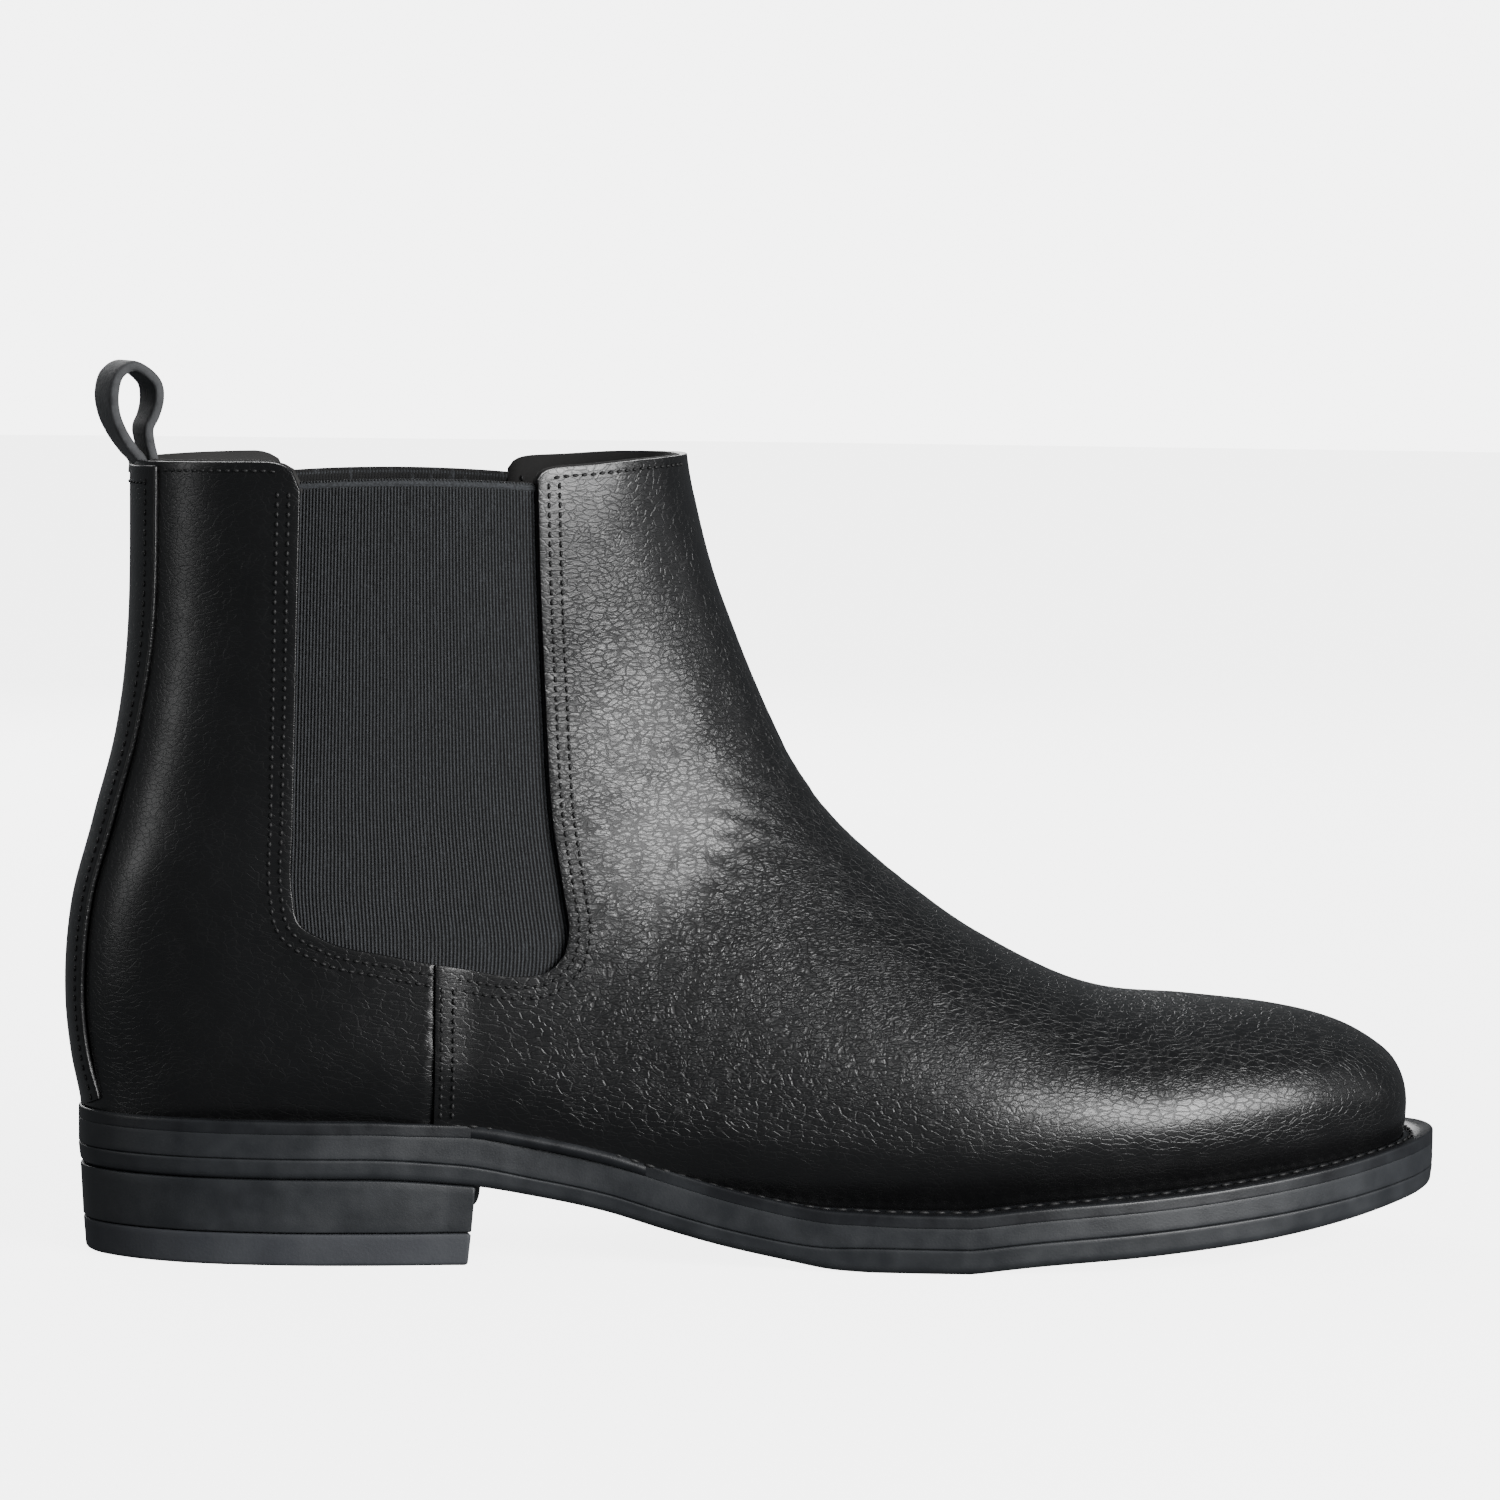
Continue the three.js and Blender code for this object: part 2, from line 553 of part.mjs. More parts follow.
/** Strap folded into a drop-shaped loop over a round knuckle. */
function pullLoop() {
  const top = LOOP_HEIGHT - knuckle - GAP;
  const wide = LOOP_OPENING / 2 + LOOP_STRAP;
  const shape = new THREE.Shape();
  shape.absarc(0, 0, knuckle, Math.PI, 2 * Math.PI);
  shape.bezierCurveTo(knuckle, 0.25 * top, wide, 0.3 * top, wide, 0.62 * top);
  shape.bezierCurveTo(wide, 0.86 * top, 0.6 * wide, top, 0, top);
  shape.bezierCurveTo(-0.6 * wide, top, -wide, 0.86 * top, -wide, 0.62 * top);
  shape.bezierCurveTo(-wide, 0.3 * top, -knuckle, 0.25 * top, -knuckle, 0);
  const hole = new THREE.Path();
  const foot = 0.17 * top;
  const inner = LOOP_OPENING / 2;
  const roof = top - LOOP_STRAP;
  hole.moveTo(0, foot);
  hole.bezierCurveTo(0.6 * inner, 0.3 * top, inner, 0.4 * top, inner, 0.62 * top);
  hole.bezierCurveTo(inner, 0.8 * top, 0.6 * inner, roof, 0, roof);
  hole.bezierCurveTo(-0.6 * inner, roof, -inner, 0.8 * top, -inner, 0.62 * top);
  hole.bezierCurveTo(-inner, 0.4 * top, -0.6 * inner, 0.3 * top, 0, foot);
  shape.holes.push(hole);
  const geometry = new THREE.ExtrudeGeometry(shape, {
    depth: LOOP_WIDTH, bevelEnabled: false, curveSegments: 6,
  });
  geometry.translate(0, 0, -LOOP_WIDTH / 2).rotateX(Math.PI / 2).rotateZ(LOOP_TWIST);
  return solidOf(geometry.translate(loopAxis.x, loopAxis.y, loopAxis.z));
}

/** The strap's ends, sewn in between the quarters and their lining. */
function loopTail() {
  const half = LOOP_WIDTH / 2;
  const top = SHAFT_HEIGHT - 0.6;
  const outline = [[-half, top - LOOP_TAIL], [half, top - LOOP_TAIL], [half, top], [-half, top]];
  return reinforcementLayer.intersect(endPrism(outline, BACK_END, 60 * gradeX));
}

// ---------------------------------------------------------------- materials and assembly

const LEATHER_BLACK = { color: 0x1b1b1d, roughness: 0.42, metalness: 0 };
const ELASTIC = { color: 0x2a2a2c, roughness: 0.9, metalness: 0 };
const RUBBER = { color: 0x2b2c2f, roughness: 0.62, metalness: 0 };
const LINING_LEATHER = { color: 0x2a2622, roughness: 0.75, metalness: 0 };
const BOARD = { color: 0xa98b63, roughness: 0.9, metalness: 0 };
const CORK = { color: 0xb58a58, roughness: 0.95, metalness: 0 };
const FOAM = { color: 0x3c3c3e, roughness: 0.9, metalness: 0 };
const STEEL = { color: 0x9a9c9f, roughness: 0.35, metalness: 1 };
const WEBBING = { color: 0x18181a, roughness: 0.8, metalness: 0 };

const boot = new THREE.Group();

/** Adds a solid to the boot as a named mesh. */
function add(name, solid, finish) {
  const geometry = geometryOf(solid);
  geometry.computeVertexNormals();
  const mesh = new THREE.Mesh(geometry, new THREE.MeshStandardMaterial(finish));
  mesh.name = name;
  boot.add(mesh);
}

const holes = NAILS.map(([x, y]) => nail(x, y, GAP)).reduce((all, hole) => all.add(hole));
const ground = () => 0;
const capTop = () => HEEL_CAP;
const baseBottom = () => HEEL_CAP + GAP;
const baseTop = (x) => underside(x) - GAP;

add('heel_cap', heelLayer(ground, capTop, 1.8, 1.3), RUBBER);
add('heel_base', heelLayer(baseBottom, baseTop, 1.2, 0.5).subtract(holes), RUBBER);
add('outsole', solePlate(underside, outsoleTop, 0.4, 0).subtract(holes), RUBBER);
add('midsole', solePlate(midsoleBottom, midsoleTop, 0.3, 0.3), RUBBER);
add('welt', solePlate(weltBottom, weltTop, 0, 0).subtract(lastSolid(GAP)), RUBBER);
NAILS.forEach(([x, y], i) => add(`heel_nail_${i + 1}`, nail(x, y), STEEL));

add('cork_filler', insideLayer(fillerBottom, fillerTop).subtract(shank(GAP)), CORK);
add('shank', shank(), STEEL);
add('insole_board', insideLayer(insoleBottom, insoleTop), BOARD);
add('heel_pad', heelPad(), FOAM);
add('sock_liner', insideLayer(linerBottom, linerTop), LINING_LEATHER);

add('vamp', leatherLayer.intersect(sidePrism(vampOutline)), LEATHER_BLACK);
add('quarter_outer', leatherLayer.intersect(sidePrism(quarterOutline)).intersect(outerHalf),
  LEATHER_BLACK);
add('quarter_inner', leatherLayer.intersect(sidePrism(quarterOutline)).intersect(innerHalf),
  LEATHER_BLACK);
add('backstay', backstay(), LEATHER_BLACK);
add('gore_outer', gore(outerHalf), ELASTIC);
add('gore_inner', gore(innerHalf), ELASTIC);
add('toe_puff', toePuff(), BOARD);
add('heel_counter', heelCounter(), BOARD);
add('vamp_lining', liningLayer.intersect(sidePrism(vampOutline)), LINING_LEATHER);
add('quarter_lining', liningLayer.intersect(sidePrism(quarterOutline)), LINING_LEATHER);
add('loop_tail', loopTail(), WEBBING);

add('shaft_front', leatherLayer.intersect(sidePrism(shaftFrontOutline)), LEATHER_BLACK);
add('shaft_front_lining', liningLayer.intersect(sidePrism(shaftFrontOutline)), LINING_LEATHER);
add('pull_loop', pullLoop(), WEBBING);

const box = new THREE.Box3().setFromObject(boot);
const centre = box.getCenter(new THREE.Vector3());
boot.position.set(-centre.x, -centre.y, -box.min.z);

export default boot;
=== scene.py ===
"""Black leather chelsea boot for the right foot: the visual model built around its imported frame.

Patterns are drawn in millimetres with X = 0 at the back of the sole, Z = 0 on the ground and the outer
side of the foot at -Y. to_row() moves them into the frame's own metres.
"""
import logging
import math
from collections.abc import Callable, Sequence
from dataclasses import dataclass, field
from enum import Enum

import bmesh
import bpy
import numpy as np
from mathutils import Matrix, Vector, noise


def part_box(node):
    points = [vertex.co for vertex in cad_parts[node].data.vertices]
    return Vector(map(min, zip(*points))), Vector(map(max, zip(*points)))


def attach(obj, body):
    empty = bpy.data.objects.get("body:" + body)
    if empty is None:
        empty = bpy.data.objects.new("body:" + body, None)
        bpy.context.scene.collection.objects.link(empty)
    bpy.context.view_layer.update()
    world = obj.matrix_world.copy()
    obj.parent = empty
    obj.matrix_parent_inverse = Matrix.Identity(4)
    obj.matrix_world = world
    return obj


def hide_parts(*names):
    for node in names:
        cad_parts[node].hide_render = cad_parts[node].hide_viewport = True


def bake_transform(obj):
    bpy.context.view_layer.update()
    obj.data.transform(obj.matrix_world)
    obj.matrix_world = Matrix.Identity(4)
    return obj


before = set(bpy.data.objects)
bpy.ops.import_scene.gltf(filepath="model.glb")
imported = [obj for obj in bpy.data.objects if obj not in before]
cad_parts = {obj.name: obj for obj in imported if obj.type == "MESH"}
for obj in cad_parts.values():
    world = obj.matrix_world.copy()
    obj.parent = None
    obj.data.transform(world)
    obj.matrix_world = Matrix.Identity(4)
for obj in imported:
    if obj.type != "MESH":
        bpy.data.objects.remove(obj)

log = logging.getLogger("chelsea_boot")
Points = np.ndarray
Curve = Callable[[Points], Points]

MM = 0.001
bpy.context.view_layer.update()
REAR_NAIL = 16.0                   # the rearmost heel nail, from the back of the sole
_nail_low, _nail_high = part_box("heel_nail_1")
ORIGIN = np.array([(_nail_low.x + _nail_high.x) / 2 - REAR_NAIL * MM, (_nail_low.y + _nail_high.y) / 2, 0.0])
TOPLINE = 173.5                    # height of the topline at the back seam
GAP = 0.3                          # between two pieces of the frame
WELD = 0.004 * MM                  # vertices nearer to each other than this are made one


class Side(Enum):
    """Sides of the boot, with the sign that turns the section angle to them."""

    OUTER = 1
    INNER = -1


def to_row(points: Points) -> Points:
    """Pattern millimetres as metres in the frame."""
    return np.asarray(points, float) * MM + ORIGIN


# ---------------------------------------------------------------- curves


def smooth_curve(points: Sequence[tuple[float, float]]) -> Curve:
    """Makes a smooth curve y(x) through points in rising x, without overshoot.

    Args:
        points: The x and y of each point.

    Returns:
        A function that takes x values and gives y values.
    """
    x, y = np.array(points, float).T
    slope = np.diff(y) / np.diff(x)
    total, product = slope[:-1] + slope[1:], slope[:-1] * slope[1:]
    inner = np.where(product > 0, 2 * product / np.where(total == 0, 1, total), 0)
    tangent = np.concatenate(([slope[0]], inner, [slope[-1]]))

    def at(value: Points) -> Points:
        """Reads the curve.

        Args:
            value: The x values, held to the curve's ends.

        Returns:
            The y values.
        """
        v = np.clip(np.asarray(value, float), x[0], x[-1])
        i = np.clip(np.searchsorted(x, v, side="right") - 1, 0, len(x) - 2)
        w = x[i + 1] - x[i]
        s = (v - x[i]) / w
        ends = y[i] * (1 + 2 * s) * (1 - s) ** 2 + y[i + 1] * s * s * (3 - 2 * s)
        return ends + tangent[i] * w * s * (1 - s) ** 2 - tangent[i + 1] * w * s * s * (1 - s)

    return at


def smoothstep(value: Points) -> Points:
    """0 below 0, 1 above 1, and a smooth rise between them."""
    v = np.clip(value, 0, 1)
    return v * v * (3 - 2 * v)


def travelled(points: Points) -> Points:
    """Distance from the start of a polyline to each of its points."""
    return np.concatenate(([0], np.cumsum(np.linalg.norm(np.diff(points, axis=0), axis=1))))


def nearest(path: Points, x: float, z: float) -> int:
    """Number of the point of a side-view path that lies nearest to a place."""
    return int(np.argmin(np.hypot(path[:, 0] - x, path[:, 1] - z)))


def resampled(points: Points, count: int) -> Points:
    """Spreads points evenly along a polyline.

    Args:
        points: The polyline.
        count: How many points to return.

    Returns:
        The new points, with the same ends.
    """
    steps = travelled(points)
    places = np.linspace(0, steps[-1], count)
    return np.stack([np.interp(places, steps, points[:, k]) for k in range(points.shape[1])], axis=1)


def spline(points: Sequence[Sequence[float]], closed: bool = False, per_segment: int = 16) -> Points:
    """Draws a smooth curve through points, with tangents by chord length.

    Args:
        points: The points to pass through.
        closed: Whether the curve returns to its first point.
        per_segment: Steps between two points.

    Returns:
        The points of the curve, the last equal to the first when closed.
    """
    p = np.array(points, float)
    if closed:
        p = np.vstack([p[-1], p, p[0], p[1]])
    chord = np.maximum(np.linalg.norm(np.diff(p, axis=0), axis=1), 1e-6)
    knots = np.concatenate(([0], np.cumsum(chord)))
    tangents = np.gradient(p, knots, axis=0)
    s = np.linspace(0, 1, per_segment, endpoint=False)[:, None]
    pieces = []
    for i in range(1 if closed else 0, len(p) - (2 if closed else 1)):
        w = chord[i]
        ends = p[i] * (1 + 2 * s) * (1 - s) ** 2 + p[i + 1] * s * s * (3 - 2 * s)
        pieces.append(ends + tangents[i] * w * s * (1 - s) ** 2 - tangents[i + 1] * w * s * s * (1 - s))
    pieces.append((p[1] if closed else p[-1])[None])
    return np.vstack(pieces)


def raised(curve: Curve, rise: float) -> Curve:
    """A curve moved up by a distance."""
    return lambda x: curve(x) + rise


def level(height: float) -> Curve:
    """A curve that stays at one height."""
    return lambda x: height + 0 * x


def between(low: Curve, high: Curve, share: float) -> Curve:
    """A curve that lies at a share of the way from one curve to another."""
    return lambda x: low(x) * (1 - share) + high(x) * share


def outward(ring: Points) -> Points:
    """Works out the outward normals of a plan-view ring.

    Args:
        ring: The x and y of each point, up the outer side and back down the inner side, closed.

    Returns:
        A unit vector for each point.
    """
    around = np.vstack([ring[-2], ring, ring[1]])
    tangent = around[2:] - around[:-2]
    tangent /= np.linalg.norm(tangent, axis=1)[:, None]
    return np.stack([tangent[:, 1], -tangent[:, 0]], axis=1)


def side_offset(path: Points, distance: float) -> Points:
    """Moves a side-view path sideways, which is outwards for the cut-out of the elastic.

    Args:
        path: The x and z of each point.
        distance: How far to move it to its right-hand side.

    Returns:
        The moved path.
    """
    direction = np.gradient(path, axis=0)
    direction /= np.linalg.norm(direction, axis=1)[:, None]
    return path + distance * np.stack([direction[:, 1], -direction[:, 0]], axis=1)


# ---------------------------------------------------------------- sole and last


@dataclass(frozen=True)
class SoleProfile:
    """Heights of the sole's layers along the boot, and the outline of the sole."""

    heel_cap: float = 7.1
    heel_base: float = 11.3
    welt: float = 2.6
    toe_spring: float = 13.6       # lift of the sole at its tip
    breast: float = 84.0           # front of the heel, from the back of the sole
    stations: int = 170            # steps along each edge
    edge_steps: int = 16           # steps between two points of the outline before it is spread evenly

    @property
    def heel_seat(self) -> float:
        """Underside of the outsole at the heel."""
        return self.heel_cap + self.heel_base + 2 * GAP

    def underside(self, x: Points) -> Points:
        """Works out the underside of the outsole.

        Args:
            x: Distance from the back of the sole.

        Returns:
            Its height: down from the heel through the waist, level at the ball, and up to the toe.
        """
        waist = smooth_curve([(0, 1), (60, 1), (83, 0.926), (99, 0.79), (113, 0.637), (126, 0.437),
                              (139, 0.258), (152, 0.12), (163, 0.02), (170, 0)])
        toe = smooth_curve([(192, 0), (206, 0.12), (232, 0.27), (258, 0.46), (277, 0.66), (293, 0.87),
                            (304, 1)])
        return self.heel_seat * waist(x) + self.toe_spring * toe(x)

    def outsole_top(self, x: Points) -> Points:
        """Top of the outsole."""
        thick = smooth_curve([(82, 4.5), (100, 4), (150, 4), (172, 5.5), (250, 5.5), (296, 4.5)])
        return self.underside(x) + thick(x)

    def midsole_top(self, x: Points) -> Points:
        """Top of the midsole."""
        thick = smooth_curve([(70, 5.1), (100, 6.4), (150, 5.5), (180, 4.3), (235, 4.3), (290, 4.8)])
        return self.outsole_top(x) + GAP + thick(x)

    def welt_top(self, x: Points) -> Points:
        """Top of the welt."""
        return self.midsole_top(x) + GAP + self.welt

    def upper_bottom(self, x: Points) -> Points:
        """Lower edge of the lasted upper."""
        return self.midsole_top(x) + GAP

    def edges(self) -> tuple[Points, Points]:
        """Draws the outline of the sole.

        Returns:
            Its outer and its inner edge from the back to the tip, with matching stations.
        """
        outer = [(0, 0), (2, 9.5), (8, 18), (20, 26.8), (40, 33), (62, 34.8), (82, 34.4), (100, 34.6),
                 (120, 37), (140, 41.3), (160, 46.3), (180, 50.6), (198, 53), (215, 53.5), (232, 52.3),
                 (250, 48.6), (266, 42.8), (280, 35), (291, 26.3), (299, 16.5), (303, 7.5)]
        inner = [(303, 9.5), (299, 19.5), (291, 30), (280, 38.6), (266, 45.4), (250, 50), (232, 52.5),
                 (215, 52.3), (198, 50), (180, 45.6), (160, 40.5), (140, 36), (120, 33), (100, 32.4),
                 (82, 33.2), (62, 34), (40, 32.6), (20, 26.8), (8, 18), (2, 9.5)]
        loop = spline([(x, -y) for x, y in outer] + [(304, 0)] + inner, True, self.edge_steps)
        tip = len(outer) * self.edge_steps
        return resampled(loop[:tip + 1], self.stations + 1), resampled(loop[tip:][::-1], self.stations + 1)


@dataclass(frozen=True)
class Last:
    """The foot shape that the upper is pulled over, as rounded sections from the toe to the topline.

    Each section runs from a point on the front ridge to a point under the heel or sole. Its columns are
    ridge x and z, low x and z, outer and inner half width, where it is fullest, and its roundness
    above and below that place.
    """

    sole: SoleProfile
    feather_height: float = 15.0       # height above the welt over which the outer side turns in
    feather_turn: float = 0.07         # how far it turns in, as a share of the half width
    under_heel: float = 10.0 / 18      # t of the section that ends under the heel
    heel_turn: float = 10.6 / 18       # t at which the low ends leave the sole for the back seam
    seam_foot: float = 11.0 / 18       # t of the section that ends at the foot of the back seam
    shaft_foot: float = 0.86           # t below which no section reaches the topline

    @property
    def sections(self) -> Points:
        """The sections, from the toe up."""
        return np.array([
            (297.1, 32.0, 296.8, 28.0, 1.5, 1.5, 0.45, 2.0, 2.0),
            (295.7, 39.5, 295.7, 22.0, 12.5, 14.5, 0.42, 2.0, 2.2),
            (291.3, 44.9, 291.3, 15.0, 21.0, 23.5, 0.42, 2.05, 2.3),
            (282.7, 50.4, 283.2, 10.0, 28.5, 31.5, 0.42, 2.1, 2.4),
            (269.2, 53.9, 269.7, 5.5, 36.5, 38.5, 0.43, 2.15, 2.4),
            (249.6, 56.2, 250.3, 0.5, 43.5, 43.5, 0.45, 2.2, 2.4),
            (227.6, 58.4, 225.4, -5.0, 47.5, 46.0, 0.47, 2.2, 2.4),
            (204.5, 67.3, 193.4, -8.0, 48.5, 45.0, 0.5, 2.1, 2.4),
            (183.1, 80.8, 150.4, -11.0, 45.5, 41.0, 0.5, 2.0, 2.4),
            (167.5, 94.1, 92.4, -13.5, 41.0, 37.0, 0.48, 2.0, 2.4),
            (158.3, 106.0, 35.9, -12.0, 37.5, 35.5, 0.47, 2.05, 2.4),
            (152.2, 117.5, 4.5, 9.5, 35.5, 35.0, 0.47, 2.1, 2.3),
            (147.4, 128.2, 0.9, 34.5, 34.5, 34.5, 0.48, 2.2, 2.2),
            (143.1, 138.7, -1.7, 55.5, 34.0, 34.0, 0.49, 2.3, 2.2),
            (139.6, 147.9, -0.6, 75.5, 34.0, 34.0, 0.5, 2.4, 2.2),
            (137.0, 156.3, 4.1, 94.5, 34.5, 34.5, 0.5, 2.4, 2.2),
            (135.0, 164.3, 8.8, 114.5, 35.0, 35.0, 0.5, 2.4, 2.3),
            (133.5, 171.5, 11.3, 139.5, 35.5, 35.5, 0.5, 2.4, 2.3),
            (132.4, 179.5, 11.5, 178.0, 35.5, 35.5, 0.5, 2.4, 2.3)])

    def section_at(self, t: Points) -> Points:
        """Blends neighbouring sections smoothly.

        Args:
            t: Place along the boot, from 0 at the toe to 1 at the topline.

        Returns:
            The nine columns of the section at each t.
        """
        rows = self.sections
        rows = np.vstack([2 * rows[0] - rows[1], rows, 2 * rows[-1] - rows[-2]])
        last = len(rows) - 3
        place = np.clip(t, 0, 1) * last
        i = np.minimum(np.floor(place).astype(int), last - 1)
        f = (place - i)[..., None]
        p0, p1, p2, p3 = (rows[i + k] for k in range(4))
        square, cube = 2 * p0 - 5 * p1 + 4 * p2 - p3, 3 * p1 - p0 - 3 * p2 + p3
        return 0.5 * (2 * p1 + (p2 - p0) * f + square * f**2 + cube * f**3)

    def point(self, t: Points, angle: Points) -> Points:
        """Gives points of the leather's outer face.

        Args:
            t: Place along the boot, from 0 at the toe to 1 at the topline.
            angle: 0 on the ridge, rising down the outer side and falling down the inner side to half a turn.

        Returns:
            The points, in pattern millimetres.
        """
        t, angle = np.broadcast_arrays(np.asarray(t, float), np.asarray(angle, float))
        row = np.moveaxis(self.section_at(t), -1, 0)
        across = np.cos(angle)
        outer = np.sin(angle) >= 0
        power = 2 / np.where(across >= 0, row[7], row[8])
        reach = np.abs(across) ** power
        share = np.where(across >= 0, row[6] * (1 - reach), row[6] + (1 - row[6]) * reach)
        x = row[0] + (row[2] - row[0]) * share
        z = row[1] + (row[3] - row[1]) * share
        inner_turn = smooth_curve([(40, 0.07), (85, 0.15), (120, 0.2), (150, 0.13), (185, 0.07)])
        turn = np.where(outer, self.feather_turn, inner_turn(x))
        low = np.clip((self.sole.welt_top(x) + self.feather_height - z) / self.feather_height, 0, 1)
        half = np.where(outer, row[4], row[5]) * np.abs(np.sin(angle)) ** power
        return np.stack([x, np.where(outer, -1, 1) * half * (1 - turn * low**2), z], axis=-1)

    def normal(self, t: Points, angle: Points) -> Points:
        """Works out the direction out of the leather's face.

        Args:
            t: Place along the boot.
            angle: Angle round the section.

        Returns:
            Unit vectors.
        """
        t, angle = np.broadcast_arrays(np.asarray(t, float), np.asarray(angle, float))
        ahead = self.point(np.maximum(t - 0.004, 0), angle) - self.point(np.minimum(t + 0.004, 1), angle)
        across = np.cross(self.point(t, angle + 0.03) - self.point(t, angle - 0.03), ahead)
        return across / np.linalg.norm(across, axis=-1)[..., None]

    def skin(self, t: Points, angle: Points, offset: Points) -> Points:
        """Points at an offset outside the leather's face, or inside it when negative."""
        return self.point(t, angle) + self.normal(t, angle) * np.asarray(offset, float)[..., None]

    def locate(self, path: Points) -> Points:
        """Finds where side-view points lie on the skin.

        Args:
            path: The x and z of each point.

        Returns:
            The t and the angle of each point, for the outer side.
        """
        low, high = np.zeros(len(path)), np.ones(len(path))
        for _ in range(44):
            t = (low + high) / 2
            row = self.section_at(t).T
            turn = (row[2] - row[0]) * (path[:, 1] - row[1]) - (row[3] - row[1]) * (path[:, 0] - row[0])
            above = turn < 0
            low, high = np.where(above, t, low), np.where(above, high, t)
        row = self.section_at(t).T
        along = np.stack([row[2] - row[0], row[3] - row[1]], axis=1)
        q = np.sum((path - np.stack([row[0], row[1]], axis=1)) * along, axis=1) / np.sum(along**2, axis=1)
        q = np.clip(q, 0, 1)
        upper = np.clip((row[6] - q) / row[6], 0, 1) ** (row[7] / 2)
        lower = np.clip((q - row[6]) / (1 - row[6]), 0, 1) ** (row[8] / 2)
        return np.stack([t, np.arccos(np.where(q < row[6], upper, -lower))], axis=1)

    def solve(self, gives: Callable[[Points], Points], low: Points, high: Points) -> Points:
        """Finds by halving where a function turns from positive to negative.

        Args:
            gives: The function.
            low: Start of each span, where the function is positive.
            high: End of each span, where it is negative.

        Returns:
            The crossing in each span.
        """
        low, high = np.array(low, float), np.array(high, float)
        for _ in range(40):
            middle = (low + high) / 2
            positive = gives(middle) > 0
            low, high = np.where(positive, middle, low), np.where(positive, high, middle)
        return (low + high) / 2

    def feather_angle(self, t: Points, height: Curve, side: Side = Side.OUTER) -> Points:
        """Finds where each section comes down to a height above the ground.

        Args:
            t: Place of each section.
            height: The height, as a function of x.
            side: Side of the boot.

        Returns:
            The angle of each crossing, negative on the inner side.
        """

        def above(angle: Points) -> Points:
            """Height of the skin above the curve."""
            p = self.point(t, angle * side.value)
            return p[..., 2] - height(p[..., 0])

        return side.value * self.solve(above, np.full(np.shape(t), 1.2), np.full(np.shape(t), math.pi))

    def top_t(self, angle: Points, height: Curve) -> Points:
        """Finds where the skin reaches a topline.

        Args:
            angle: Angle round the boot.
            height: The topline, as a function of x.

        Returns:
            The place t for each angle.
        """

        def below(t: Points) -> Points:
            """Depth of the skin under the topline."""
            p = self.point(t, angle)
            return height(p[..., 0]) - p[..., 2]

        return self.solve(below, np.full(np.shape(angle), self.shaft_foot), np.ones(np.shape(angle)))

    def back_foot(self, height: Curve, start: float) -> float:
        """Finds where the low end of the sections rises past a height at the back.

        Args:
            height: The height, as a function of x.
            start: The t to look from.

        Returns:
            The place t.
        """

        def below(t: Points) -> Points:
            """Depth of the section's low end under the height."""
            low_end = self.point(t, math.pi)
            return height(low_end[..., 0]) - low_end[..., 2]

        return float(self.solve(below, np.array(start), np.array(0.9)))

    def back_t(self, height: Points) -> Points:
        """Place t at which the back seam reaches a height."""
        return self.solve(lambda t: height - self.point(t, math.pi)[..., 2],
                          np.full(np.shape(height), self.seam_foot), np.ones(np.shape(height)))


# ---------------------------------------------------------------- meshes


def sheet_mesh(points: Points, outward: Points | None = None) -> bmesh.types.BMesh:
    """Bends a flat grid into a surface.

    Args:
        points: Positions in pattern millimetres, as rows by columns by 3.
        outward: Rough outward directions of the same shape, or None for a surface that closes on itself.

    Returns:
        The surface, with its doubles merged and its faces pointing out.
    """
    rows, columns = points.shape[:2]
    bm = bmesh.new()
    bmesh.ops.create_grid(bm, x_segments=columns - 1, y_segments=rows - 1, size=0.5)
    placed = to_row(points)
    direction = bm.verts.layers.float_vector.new("direction")
    for vert in bm.verts:
        i = round((vert.co.y + 0.5) * (rows - 1))
        j = round((vert.co.x + 0.5) * (columns - 1))
        vert.co = placed[i, j]
        if outward is not None:
            vert[direction] = outward[i, j]
    bmesh.ops.remove_doubles(bm, verts=bm.verts, dist=WELD)
    bmesh.ops.dissolve_degenerate(bm, edges=bm.edges, dist=0.001 * MM)
    if outward is None:
        bmesh.ops.recalc_face_normals(bm, faces=bm.faces)
    else:
        bm.normal_update()
        facing = sum(f.normal.dot(f.verts[0][direction]) * f.calc_area() for f in bm.faces)
        if facing < 0:
            bmesh.ops.reverse_faces(bm, faces=bm.faces)
    bm.verts.layers.float_vector.remove(direction)
    return bm


def tube_mesh(rings: Points) -> bmesh.types.BMesh:
    """Closes a row of rings at both ends.

    Args:
        rings: The rings, each a closed line, in pattern millimetres.

    Returns:
        The closed mesh.
    """
    first, last = (ring.mean(axis=1, keepdims=True).repeat(rings.shape[1], axis=1)
                   for ring in (rings[:1], rings[-1:]))
    return sheet_mesh(np.concatenate([first, rings, last]))


def joined(parts: Sequence[bmesh.types.BMesh]) -> bmesh.types.BMesh:
    """Welds several meshes into one along their shared edges.

    Args:
        parts: The meshes, which are used up.

    Returns:
        The joined mesh.
    """
    whole = bmesh.new()
    for part in parts:
        mesh = bpy.data.meshes.new("part")
        part.to_mesh(mesh)
        part.free()
        whole.from_mesh(mesh)
        bpy.data.meshes.remove(mesh)
    bmesh.ops.remove_doubles(whole, verts=whole.verts, dist=WELD)
    return whole


